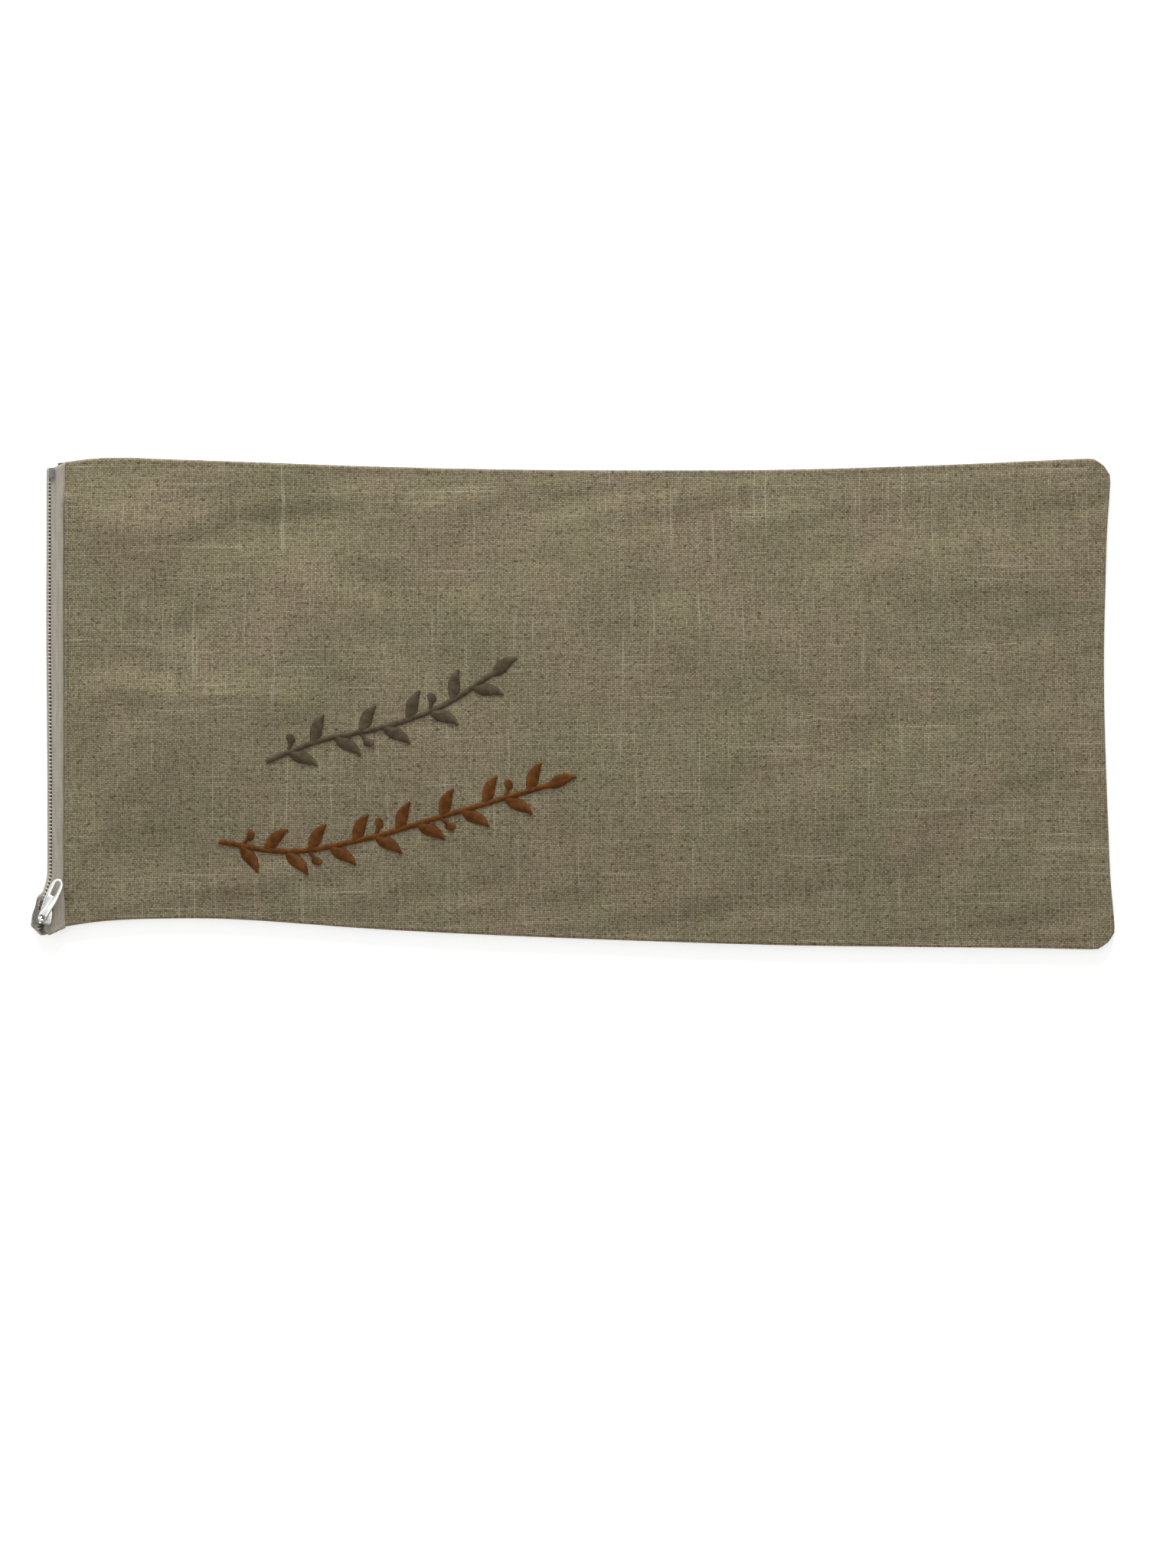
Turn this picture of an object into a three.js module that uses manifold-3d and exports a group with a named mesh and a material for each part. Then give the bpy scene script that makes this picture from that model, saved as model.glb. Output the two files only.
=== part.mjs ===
// A flat linen pouch for a shofar, lying on its back, closed by a zip along one short end.
// Millimetres. +X runs along the bag, away from the zip. +Y runs across it. +Z is up.
// Until the last lines, x = 0 is the front's mouth fold, y = 0 the bag's middle line and z = 0 the surface below.
import * as THREE from 'three';
import { mergeVertices } from 'three/addons/utils/BufferGeometryUtils.js';
import Module from 'manifold-3d';

const wasm = await Module();
wasm.setup();

// The bag
const BAG_LENGTH = 457.5;      // from the front's mouth fold to the far end, at its longest
const BAG_WIDTH = 215;         // across, at its widest
const CLOTH = 1.0;             // one layer of linen
const SEAM_BAND = 8;           // the seam allowance, pressed flat against its panel
const INNER_CORNER = 2;        // how round a far corner is at the band's inner edge
const CLEARANCE = 0.3;         // between two pieces that touch
const CROWN = 3.6;             // how far the front stands up over its pressed border
const DOME_REACH = 70;         // the stretch in which the front rises to its crown
const MOUTH_SHOULDER = 8;      // the stretch in which the mouth opens, beside each side seam
const MOUTH_BLEND = 60;        // the stretch from the mouth's height to the crown's
const BACK_MOUTH_SHIFT = 3.1;  // how far the back's mouth fold lies outside the front's

// The zip
const TAPE = 0.7;              // thickness of the woven tape
const TAPE_UNDER = 8;          // how far the tape is sewn under the linen
const TAPE_EDGE = 0.8;         // from the middle of the zip to the edge of each tape
const CHAIN_HALF = 2.1;        // width of one row of teeth
const COIL = 1.2;              // thickness of the rows
const TOOTH_PITCH = 1.58;
const TOOTH_DEPTH = 1.0;
const TOOTH_PLAY = 0.25;       // from the middle of the zip to each row's own tooth line
const CHAIN_OUT = 4.4;         // from the front's mouth fold to the middle of the zip
const CHAIN_BOW = 0.5;         // how much further out its upper half lies
const CHAIN_RISE = 5.5;        // height of the tapes' outer face at the middle of the zip
const ZIP_TOP_INSET = 5;       // from the bag's widest line to the upper end of the zip
const ZIP_FOOT_INSET = 6.5;    // the same at its lower end
const FRONT_LEAN = 5;          // degrees that the front row climbs away from the middle
const BACK_LEAN = 35;          // degrees that the back row falls away from the middle
const END_RUN = 31;            // the stretch at its lower end in which the zip swings outwards
const END_SWING = 4.9;         // how far it swings
const END_CUT = 0.45;          // slope of the tapes' ends, towards the linen

// The slider, its pull and the stop
const SLIDER_LENGTH = 11.3;
const SLIDER_PLATE = 0.8;
const SLIDER_RAIL = 0.5;
const SLIDER_BRIM = 0.5;       // how far its upper plate stands out over the rails
const SLIDER_POST = 0.8;       // width of the post between its two plates
const SLIDER_POST_LENGTH = 3.0;
const SLIDER_UP = 10.5;        // from the lower end of the zip to the slider's middle
const SLIDER_TILT = 12;        // degrees that its face leans outwards
const PIN_SLOT_LENGTH = 4.0;
const PIN_SLOT_WIDTH = 1.3;
const BRIDGE_BACK = 3.8;       // from the slider's middle to the bridge, towards the open end
const BRIDGE_THICKNESS = 0.7;
const BRIDGE_WIDTH = 1.0;
const PULL_LENGTH = 19.9;
const PULL_WIDTH = 5.6;
const PULL_THICKNESS = 1.0;
const PULL_BEVEL = 0.2;
const PULL_BAR = 1.0;          // the bar at the pull's end, which the bridge holds
const PULL_EYE_LENGTH = 1.9;
const PULL_EYE_WIDTH = 2.3;
const PULL_EYE_WALL = 0.6;
const PULL_SLOT_LENGTH = 7;
const PULL_SLOT_WIDTH = 2.4;
const PULL_SLOT_RIM = 0.9;     // between the slot and the pull's round end
const PULL_TURN = 26;          // degrees that the pull lies off the bag's Y
const PULL_ROLL = 12;          // degrees that it leans with the slider
const PULL_LIFT = 2.5;         // degrees that its tip stands up, off the slider's leaning face
const STOP_LENGTH = 4.5;
const STOP_WIDTH = 2.6;
const STOP_THICKNESS = 0.7;
const STOP_WEB = 1.0;

// The embroidery
const THREAD_RISE = 0.9;       // how far the satin stitches stand up
const THREAD_GAP = 0.35;       // under them
const STEM_WIDTH = 2.2;
const LEAF_LENGTH = 13.5;
const LEAF_WIDTH = 5.8;
const LEAF_SPACING = 9.8;
const LEAF_ANGLE = 48;         // degrees between a leaf and its stem
const BERRY = 4.0;             // across
const BERRY_STALK = 6;

// The long edges: their distance from the bag's middle line, as a share of half its width.
const SIDE_EDGES = [
  { along: -0.03, upper: 0.965, lower: 0.925 },
  { along: 0.00, upper: 0.978, lower: 0.905 },
  { along: 0.04, upper: 0.996, lower: 0.882 },
  { along: 0.09, upper: 0.991, lower: 0.873 },
  { along: 0.16, upper: 0.981, lower: 0.875 },
  { along: 0.30, upper: 0.960, lower: 0.916 },
  { along: 0.45, upper: 0.947, lower: 0.947 },
  { along: 0.67, upper: 0.947, lower: 0.979 },
  { along: 0.82, upper: 0.964, lower: 0.988 },
  { along: 0.95, upper: 0.988, lower: 0.994 },
  { along: 1.00, upper: 0.996, lower: 1.000 },
];

// The far end: its place along the bag, as a share of the length.
const FAR_EDGE = [
  { across: -1.0, along: 1.000 },
  { across: -0.6, along: 0.995 },
  { across: 0.1, along: 0.990 },
  { across: 0.7, along: 0.993 },
  { across: 1.0, along: 0.996 },
];

// The front's soft folds: places and half sizes as shares of the length and of half the width,
// heights as shares of the crown, turns in degrees.
const FOLDS = [
  { along: 0.125, across: 0.08, long: 0.100, wide: 0.085, turn: -3, rise: 0.34 },
  { along: 0.070, across: 0.70, long: 0.040, wide: 0.230, turn: 0, rise: 0.24 },
  { along: 0.120, across: 0.27, long: 0.070, wide: 0.100, turn: 6, rise: -0.24 },
  { along: 0.055, across: -0.24, long: 0.040, wide: 0.130, turn: 0, rise: -0.26 },
  { along: 0.070, across: -0.60, long: 0.055, wide: 0.120, turn: 12, rise: -0.26 },
  { along: 0.210, across: 0.76, long: 0.070, wide: 0.100, turn: 0, rise: -0.22 },
  { along: 0.460, across: 0.30, long: 0.120, wide: 0.300, turn: 20, rise: 0.14 },
  { along: 0.700, across: -0.25, long: 0.150, wide: 0.260, turn: -15, rise: 0.16 },
];

// The turned edge of a panel, from its inner to its outer face: in from the edge, and up through its two layers,
// as shares of their thickness.
const LIP = [
  { inward: 0.15, up: 0.00 },
  { inward: 0.00, up: 0.28 },
  { inward: 0.06, up: 0.62 },
  { inward: 0.32, up: 0.90 },
  { inward: 0.80, up: 1.00 },
];

// The rings of a panel, from its pressed border (0) to the bag's middle line (1).
const PANEL_RINGS = [0.08, 0.20, 0.36, 0.54, 0.74, 0.90];

// The lower end of the zip: how far up it, as a share of its run, and how far out, as a share of its swing.
const ZIP_END = [
  { up: 0.00, out: 0.44 },
  { up: 0.06, out: 0.83 },
  { up: 0.12, out: 1.00 },
  { up: 0.19, out: 0.97 },
  { up: 0.34, out: 0.84 },
  { up: 0.50, out: 0.70 },
  { up: 0.66, out: 0.32 },
  { up: 0.82, out: 0.04 },
  { up: 1.00, out: 0.00 },
];

// Where the back tape turns under the zip, as shares of the zip's height: beside the closed rows and round the slider.
const BACK_TURN = [
  { closedOut: -0.095, closedDrop: 0.165, sliderOut: -0.035, sliderDrop: 0.180 },
  { closedOut: -0.085, closedDrop: 0.365, sliderOut: -0.035, sliderDrop: 0.560 },
  { closedOut: 0.090, closedDrop: 0.565, sliderOut: 0.190, sliderDrop: 0.760 },
];

// The pull's outline: half its width, from 0 at the eye's to 1 at the widest.
const PULL_OUTLINE = [
  { along: 0.000, wide: -0.75 },
  { along: 0.030, wide: -0.20 },
  { along: 0.080, wide: 0.00 },
  { along: 0.170, wide: 0.10 },
  { along: 0.330, wide: 0.55 },
  { along: 0.500, wide: 0.95 },
  { along: 0.680, wide: 1.00 },
  { along: 0.850, wide: 0.85 },
  { along: 0.950, wide: 0.25 },
  { along: 1.000, wide: -0.85 },
];

// The middle lines of the two embroidered stems, as shares of the length and of half the width.
const TAUPE_STEM = [
  { along: 0.193, across: -0.235 },
  { along: 0.245, across: -0.150 },
  { along: 0.305, across: -0.095 },
  { along: 0.360, across: -0.010 },
  { along: 0.408, across: 0.120 },
];
const RUST_STEM = [
  { along: 0.148, across: -0.560 },
  { along: 0.215, across: -0.600 },
  { along: 0.290, across: -0.545 },
  { along: 0.370, across: -0.445 },
  { along: 0.462, across: -0.330 },
];

// Half a leaf's width along it, and a satin stitch's rounded section.
const LEAF_SHAPE = [
  { along: 0.00, wide: 0.16 },
  { along: 0.22, wide: 0.78 },
  { along: 0.45, wide: 1.00 },
  { along: 0.72, wide: 0.70 },
  { along: 1.00, wide: 0.08 },
];
const STITCH_SECTION = [
  { across: -1.0, up: 0.0 },
  { across: 1.0, up: 0.0 },
  { across: 0.9, up: 0.6 },
  { across: 0.0, up: 1.0 },
  { across: -0.9, up: 0.6 },
];

const RAD = Math.PI / 180;
const HALF_WIDTH = BAG_WIDTH / 2;
const BAND = 2 * CLOTH;
const CORNER = SEAM_BAND + INNER_CORNER;
const SEAM_TOP = BAND + CLEARANCE;
const BORDER_TOP = SEAM_TOP + BAND;
const BACK_TAPE_Z = BAND + CLEARANCE;
const FRONT_TAPE_Z = BACK_TAPE_Z + TAPE + CLEARANCE;
const MOUTH_RISE = FRONT_TAPE_Z + TAPE + CLEARANCE - SEAM_TOP;
const ROW_MIDDLE = TAPE + CLEARANCE + COIL / 2;
const ROW_OUTER = CHAIN_HALF + CLEARANCE;
const PARTING = SLIDER_POST / 2 + CLEARANCE + TOOTH_DEPTH / 2 - TOOTH_PLAY;
const ZIP_UPPER_END = HALF_WIDTH - ZIP_TOP_INSET;
const ZIP_LOWER_END = ZIP_FOOT_INSET - HALF_WIDTH;
const SLIDER_Y = ZIP_LOWER_END + SLIDER_UP;
const EYE_HALF = PULL_EYE_WIDTH / 2 + PULL_EYE_WALL;
const BAR_TURNING = Math.hypot(PULL_BAR, PULL_THICKNESS) / 2;
const BRIDGE_BORE = BAR_TURNING + CLEARANCE;

// Curves and tables

function smooth(from, to, value) {
  const t = Math.min(1, Math.max(0, (value - from) / (to - from)));
  return t * t * (3 - 2 * t);
}

// A smooth curve through one column of a table, over another.
function follow(rows, key, name, value) {
  const row = (i) => rows[Math.min(rows.length - 1, Math.max(0, i))];
  const slope = (i) => (row(i + 1)[name] - row(i - 1)[name]) / (row(i + 1)[key] - row(i - 1)[key]);
  let i = 0;
  while (i < rows.length - 2 && value > rows[i + 1][key]) i += 1;
  const gap = row(i + 1)[key] - row(i)[key];
  const t = (value - row(i)[key]) / gap;
  if (t < 0) return row(i)[name] + slope(i) * t * gap;
  if (t > 1) return row(i + 1)[name] + slope(i + 1) * (t - 1) * gap;
  const h = t * t * (3 - 2 * t);
  const bend = t * (1 - t) * ((1 - t) * slope(i) - t * slope(i + 1)) * gap;
  return row(i)[name] * (1 - h) + row(i + 1)[name] * h + bend;
}

// Even steps from one number to another, about as long as the spacing.
function evenly(from, to, spacing) {
  const steps = Math.max(1, Math.round(Math.abs(to - from) / spacing));
  return Array.from({ length: steps + 1 }, (_, i) => from + ((to - from) * i) / steps);
}

// Closed skins

const turnedOver = (triangles) => triangles.map(([a, b, c]) => [a, c, b]);

// A closed skin with its faces outwards.
function geometryOf(points, triangles) {
  const corner = (i) => new THREE.Vector3(...points[i]);
  const volume = triangles.reduce((sum, [a, b, c]) => sum + corner(a).dot(corner(b).cross(corner(c))), 0);
  const outward = volume > 0 ? triangles : turnedOver(triangles);
  const geometry = new THREE.BufferGeometry();
  geometry.setAttribute('position', new THREE.Float32BufferAttribute(points.flat(), 3));
  geometry.setIndex(outward.flat());
  return geometry;
}

// The side walls between rings of equal length, in order.
function wallsOf(rings) {
  const count = rings[0].length;
  const triangles = [];
  for (let r = 0; r + 1 < rings.length; r += 1) {
    for (let k = 0; k < count; k += 1) {
      const a = r * count + k;
      const b = r * count + ((k + 1) % count);
      triangles.push([a, b, b + count], [a, b + count, a + count]);
    }
  }
  return triangles;
}

// A cap over a round section.
function fan(count) {
  return Array.from({ length: count - 2 }, (_, i) => [0, i + 1, i + 2]);
}

// A cap over a strip's section, whose second half runs back along the first.
function stripFaces(count) {
  const triangles = [];
  for (let i = 0; i + 1 < count / 2; i += 1) {
    const [a, b, c, d] = [i, i + 1, count - 2 - i, count - 1 - i];
    triangles.push([a, b, c], [a, c, d]);
  }
  return triangles;
}

function lofted(rings, capFaces) {
  const end = (rings.length - 1) * rings[0].length;
  const cap = capFaces(rings[0].length);
  const far = cap.map((triangle) => triangle.map((i) => i + end));
  return geometryOf(rings.flat(), [...wallsOf(rings), ...turnedOver(cap), ...far]);
}

// A flat cap over a loop seen from above, facing up.
function loopFaces(ring) {
  const flat = ring.map(([x, y]) => new THREE.Vector2(x, y));
  return THREE.ShapeUtils.triangulateShape(flat, []).map(([a, b, c]) => {
    const cross = (flat[b].x - flat[a].x) * (flat[c].y - flat[a].y)
      - (flat[b].y - flat[a].y) * (flat[c].x - flat[a].x);
    return cross > 0 ? [a, b, c] : [a, c, b];
  });
}

function solidOf(geometry) {
  const bare = geometry.clone();
  bare.deleteAttribute('normal');
  bare.deleteAttribute('uv');
  const merged = mergeVertices(bare, 1e-4);
  return new wasm.Manifold(new wasm.Mesh({
    numProp: 3,
    vertProperties: new Float32Array(merged.attributes.position.array),
    triVerts: new Uint32Array(merged.index.array),
  }));
}

function geometryFrom(solid) {
  const { vertProperties, triVerts } = solid.getMesh();
  const geometry = new THREE.BufferGeometry();
  geometry.setAttribute('position', new THREE.Float32BufferAttribute(vertProperties, 3));
  geometry.setIndex([...triVerts]);
  return geometry;
}

function joined(geometries, cutters = []) {
  let whole = solidOf(geometries[0]);
  for (const geometry of geometries.slice(1)) whole = whole.add(solidOf(geometry));
  for (const cutter of cutters) whole = whole.subtract(solidOf(cutter));
  return geometryFrom(whole);
}

function placed(geometry, place) {
  const position = geometry.attributes.position;
  for (let i = 0; i < position.count; i += 1) {
    position.setXYZ(i, ...place(position.getX(i), position.getY(i), position.getZ(i)));
  }
  return geometry;
}

function extruded(outline, from, to) {
  const shape = new THREE.Shape(outline.map(([x, y]) => new THREE.Vector2(x, y)));
  const geometry = new THREE.ExtrudeGeometry(shape, { depth: to - from, bevelEnabled: false });
  return geometry.translate(0, 0, from);
}

function block(fromX, toX, fromY, toY, fromZ, toZ) {
  const box = new THREE.BoxGeometry(toX - fromX, toY - fromY, toZ - fromZ);
  return box.translate((fromX + toX) / 2, (fromY + toY) / 2, (fromZ + toZ) / 2);
}

function piece(name, geometry, color, roughness, metalness) {
  const mesh = new THREE.Mesh(geometry, new THREE.MeshStandardMaterial({ color, roughness, metalness }));
  mesh.name = name;
  return mesh;
}

// The linen panels

const sideY = (x, side) => HALF_WIDTH * follow(SIDE_EDGES, 'along', side, x / BAG_LENGTH);
const farX = (y) => BAG_LENGTH * follow(FAR_EDGE, 'across', 'along', y / HALF_WIDTH);

// One loop of edge points, counterclockwise from the lower mouth corner. Each has the way in from the edge,
// and the point of the middle line that its rings run to.
function edgeLoop(mouthX) {
  const SIDE_STEPS = 24;
  const END_STEPS = 9;
  const ARC_STEPS = 4;
  const loop = [];
  const add = (x, y, inX, inY) => {
    const spineX = Math.min(0.84 * BAG_LENGTH, Math.max(0.16 * BAG_LENGTH, x));
    loop.push({ x, y, inX, inY, spineX });
  };
  const sidePoint = (i, endX, side) => {
    const share = (i / SIDE_STEPS) * (0.75 + (0.25 * i) / SIDE_STEPS);
    const x = mouthX + (endX - mouthX) * share;
    const sign = side === 'upper' ? 1 : -1;
    add(x, sign * sideY(x, side), i === 0 ? 1 : 0, -sign);
  };
  const arc = (centreX, centreY, from) => {
    for (let i = 0; i <= ARC_STEPS; i += 1) {
      const angle = (from + (90 * i) / ARC_STEPS) * RAD;
      const [cos, sin] = [Math.cos(angle), Math.sin(angle)];
      add(centreX + CORNER * cos, centreY + CORNER * sin, -cos, -sin);
    }
  };
  const lowerX = farX(-HALF_WIDTH) - CORNER;
  const upperX = farX(HALF_WIDTH) - CORNER;
  const lowerY = CORNER - sideY(lowerX, 'lower');
  const upperY = sideY(upperX, 'upper') - CORNER;
  const mouthUpper = sideY(mouthX, 'upper');
  const mouthSpan = mouthUpper + sideY(mouthX, 'lower');
  for (let i = 0; i < SIDE_STEPS; i += 1) sidePoint(i, lowerX, 'lower');
  arc(lowerX, lowerY, -90);
  for (let i = 1; i < END_STEPS; i += 1) {
    const y = lowerY + ((upperY - lowerY) * i) / END_STEPS;
    add(farX(y), y, -1, 0);
  }
  arc(upperX, upperY, 0);
  for (let i = SIDE_STEPS - 1; i >= 0; i -= 1) sidePoint(i, upperX, 'upper');
  const shoulder = SEAM_BAND + MOUTH_SHOULDER;
  const raised = evenly(mouthUpper - shoulder, mouthUpper - mouthSpan + shoulder, mouthSpan / 8);
  const foot = 1.3 * SEAM_BAND;
  for (const y of [mouthUpper - foot, ...raised, mouthUpper - mouthSpan + foot]) add(mouthX, y, 1, 0);
  return loop;
}

// How far a point lies inside the three sewn edges.
function fromSeams(x, y) {
  const toSide = y > 0 ? sideY(x, 'upper') - y : sideY(x, 'lower') + y;
  return Math.max(0, Math.min(toSide, farX(y) - x));
}

// Height of the front's outer face.
function frontZ(x, y) {
  const inside = fromSeams(x, y);
  const dome = Math.min(1, Math.max(0, inside - SEAM_BAND) / DOME_REACH);
  const body = CROWN * (1 - (1 - dome) ** 2);
  const mouth = MOUTH_RISE * smooth(SEAM_BAND, SEAM_BAND + MOUTH_SHOULDER, inside);
  const open = smooth(SEAM_BAND, MOUTH_BLEND, x);
  const soft = smooth(SEAM_BAND, 3 * SEAM_BAND, inside) * smooth(SEAM_BAND, 3 * SEAM_BAND, x);
  let folds = 0;
  for (const fold of FOLDS) {
    const [cos, sin] = [Math.cos(fold.turn * RAD), Math.sin(fold.turn * RAD)];
    const dx = x - fold.along * BAG_LENGTH;
    const dy = y - fold.across * HALF_WIDTH;
    const long = (dx * cos + dy * sin) / (fold.long * BAG_LENGTH);
    const wide = (dy * cos - dx * sin) / (fold.wide * HALF_WIDTH);
    folds += fold.rise * CROWN * Math.exp(-long * long - wide * wide);
  }
  return BORDER_TOP + mouth * (1 - open) + body * open + folds * soft;
}

// One skin: over the inner face, round the turned edge and back over the outer face. Where the seam allowance
// or the hem is pressed against the panel, it is two layers thick.
function panel(mouthX, outerZ, inwards, innerRings, outerRings) {
  const loop = edgeLoop(mouthX);
  const layersIn = (x, y, layers) => outerZ(x, y) + inwards * layers * CLOTH;
  const borderRing = (inset, layers) => loop.map((p) => {
    const [x, y] = [p.x + p.inX * inset, p.y + p.inY * inset];
    return [x, y, layersIn(x, y, layers)];
  });
  const bodyRing = (share, layers) => loop.map((p) => {
    const [x, y] = [p.x + p.inX * SEAM_BAND, p.y + p.inY * SEAM_BAND];
    const [ringX, ringY] = [x + (p.spineX - x) * share, y * (1 - share)];
    return [ringX, ringY, layersIn(ringX, ringY, layers)];
  });
  const rings = [
    ...[...innerRings].reverse().map((share) => bodyRing(share, 1)),
    borderRing(SEAM_BAND, 1),
    borderRing(SEAM_BAND, 2),
    ...LIP.map(({ inward, up }) => borderRing(inward * BAND, 2 * (1 - up))),
    ...outerRings.map((share) => bodyRing(share, 0)),
  ];
  const end = (rings.length - 1) * loop.length;
  const innerCap = turnedOver(loopFaces(rings[0]));
  const outerCap = loopFaces(rings[rings.length - 1]).map((triangle) => triangle.map((i) => i + end));
  return geometryOf(rings.flat(), [...wallsOf(rings), ...innerCap, ...outerCap]);
}

// The zip. A station is a section across it, at one y of its middle line.

function zipAt(y) {
  const up = (y - ZIP_LOWER_END) / END_RUN;
  const swing = up < 1 ? END_SWING * follow(ZIP_END, 'up', 'out', up) : 0;
  const turned = smooth(1, 0.5, up);
  const ending = smooth(SLIDER_Y - 2, ZIP_LOWER_END, y) + smooth(ZIP_UPPER_END - 2 * STOP_LENGTH, ZIP_UPPER_END, y);
  return {
    x: -CHAIN_OUT - CHAIN_BOW * smooth(-0.4, 0.4, y / HALF_WIDTH) - swing,
    y,
    z: CHAIN_RISE - ROW_MIDDLE,
    frontLean: (FRONT_LEAN + (SLIDER_TILT - FRONT_LEAN) * turned) * RAD,
    backLean: (BACK_LEAN + (SLIDER_TILT - BACK_LEAN) * turned) * RAD,
    cut: END_CUT * ending,
  };
}

// How far each row gives way to the slider's post, and how near the slider is.
const givesWay = (y) => PARTING * smooth(-2.5, 2, SLIDER_Y - y);
const besideSlider = (y) => 1 - smooth(0.56 * SLIDER_LENGTH, 0.76 * SLIDER_LENGTH, Math.abs(y - SLIDER_Y));

// How far out on a row its tape bends away: past the teeth, or past the slider's rail.
function rowsEdge(y) {
  const pastRail = ROW_OUTER + SLIDER_RAIL + CLEARANCE + TAPE;
  return CHAIN_HALF + (pastRail - CHAIN_HALF) * besideSlider(y);
}

// A point of a station's section: e to the right of the middle, z above the middle of the rows.
const sectionPoint = (station, e, z) => [
  station.x + e,
  station.y + Math.max(0, e) * station.cut,
  station.z + z,
];

// A place on one row, u outwards across it and v out of its face, as e and z.
function onRow(station, side, u, v) {
  const lean = side > 0 ? station.frontLean : station.backLean;
  const out = side * (u + givesWay(station.y));
  return [out * Math.cos(lean) - v * Math.sin(lean), out * Math.sin(lean) + v * Math.cos(lean)];
}

// The stations lie close together round the slider and at the upper end.
function zipStations() {
  const straightFrom = ZIP_LOWER_END + 1.3 * END_RUN;
  const straightTo = ZIP_UPPER_END - MOUTH_SHOULDER - 2 * SEAM_BAND;
  return [
    ...evenly(ZIP_LOWER_END, straightFrom, 2.8).slice(0, -1),
    ...evenly(straightFrom, straightTo, 16),
    ...evenly(straightTo, ZIP_UPPER_END, 5).slice(1),
  ].map(zipAt);
}

// How far a tape runs under the linen: all the way, but not into the side seams.
function tapeReach(y) {
  const upper = sideY(0, 'upper') - SEAM_BAND - 1.3 * MOUTH_SHOULDER;
  const lower = sideY(0, 'lower') - SEAM_BAND - 1.3 * MOUTH_SHOULDER;
  return y > 0 ? smooth(upper, upper - 4, y) : smooth(lower, lower - 4, -y);
}

// A tape from the outer line of its section, its thickness laid on one side of that line.
function tape(lineAt, inwards) {
  const rings = zipStations().map((station) => {
    const line = lineAt(station);
    const inner = line.map(([e, z], i) => {
      const before = line[Math.max(0, i - 1)];
      const after = line[Math.min(line.length - 1, i + 1)];
      const length = Math.hypot(after[0] - before[0], after[1] - before[1]);
      const [nx, nz] = [(before[1] - after[1]) / length, (after[0] - before[0]) / length];
      return [e + inwards * nx * TAPE, z + inwards * nz * TAPE];
    });
    return [...line, ...inner.reverse()].map(([e, z]) => sectionPoint(station, e, z));
  });
  return lofted(rings, stripFaces);
}

function frontTapeLine(station) {
  const top = FRONT_TAPE_Z + TAPE - station.z;
  const knee = rowsEdge(station.y);
  const outside = -station.x - 1.5 * CLEARANCE;
  return [
    onRow(station, 1, TAPE_EDGE, ROW_MIDDLE),
    onRow(station, 1, (TAPE_EDGE + knee) / 2, ROW_MIDDLE),
    onRow(station, 1, knee, ROW_MIDDLE),
    [outside - TAPE, top + TAPE],
    [outside, top],
    [outside + TAPE / 4 + TAPE_UNDER * tapeReach(station.y), top],
  ];
}

function backTapeLine(station) {
  const knee = onRow(station, -1, rowsEdge(station.y), ROW_MIDDLE);
  const beside = besideSlider(station.y);
  const turn = BACK_TURN.map((row) => {
    const out = row.closedOut + (row.sliderOut - row.closedOut) * beside;
    const drop = row.closedDrop + (row.sliderDrop - row.closedDrop) * beside;
    return [knee[0] + out * CHAIN_RISE, knee[1] - drop * CHAIN_RISE];
  });
  const under = BACK_TAPE_Z - station.z;
  const outside = -BACK_MOUTH_SHIFT - CLEARANCE - station.x;
  return [
    onRow(station, -1, TAPE_EDGE, ROW_MIDDLE),
    knee,
    ...turn,
    [outside - TAPE, under - 1.5 * TAPE],
    [outside, under],
    [outside + TAPE / 4 + TAPE_UNDER * tapeReach(station.y), under],
  ];
}

// One row of teeth, which mesh with the other row's. Its outer edge has fewer points than its teeth.
function toothedRow(side) {
  const from = ZIP_LOWER_END + TOOTH_PITCH;
  const to = ZIP_UPPER_END - STOP_LENGTH - 2 * CLEARANCE;
  const teeth = Math.floor((to - from) / TOOTH_PITCH);
  const tips = evenly(from, from + teeth * TOOTH_PITCH, TOOTH_PITCH / 2);
  const edge = evenly(from, from + teeth * TOOTH_PITCH, 2 * TOOTH_PITCH);
  const face = (v) => {
    const at = (x, y) => {
      const station = zipAt(y);
      return sectionPoint(station, ...onRow(station, side, side * x, v));
    };
    return [
      ...tips.map((y, i) => at(side * TOOTH_PLAY + (i % 2 === 0 ? -0.5 : 0.5) * TOOTH_DEPTH, y)),
      ...[...edge].reverse().map((y) => at(side * CHAIN_HALF, y)),
    ];
  };
  const last = tips.length + edge.length - 1;
  const beside = (i) => Math.round((i * (edge.length - 1)) / (tips.length - 1));
  const cap = () => tips.slice(1).flatMap((_, i) => {
    const [near, next] = [beside(i), beside(i + 1)];
    const tooth = [i, i + 1, last - near];
    return near === next ? [tooth] : [tooth, [i + 1, last - next, last - near]];
  });
  return lofted([face(-COIL / 2), face(COIL / 2)], cap);
}

// The stop: a plate over the upper end of the zip, with a web down between the tapes.
function bottomStop() {
  const half = STOP_WIDTH / 2;
  const underPlate = ROW_MIDDLE + 1.5 * CLEARANCE;
  const plate = [
    [-half, 0.15], [-half + 0.4, 0], [half - 0.4, 0], [half, 0.15],
    [half, 0.85], [half - 0.4, 1], [-half + 0.4, 1], [-half, 0.85],
  ].map(([x, share]) => [x, share * STOP_LENGTH]);
  return joined([
    extruded(plate, underPlate, underPlate + STOP_THICKNESS),
    block(-STOP_WEB / 2, STOP_WEB / 2, 0, STOP_LENGTH, -COIL / 2, underPlate + STOP_THICKNESS / 2),
  ]);
}

// The slider, from the rows' middle under its centre: x across, y towards the closed rows, z out of its face.

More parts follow.
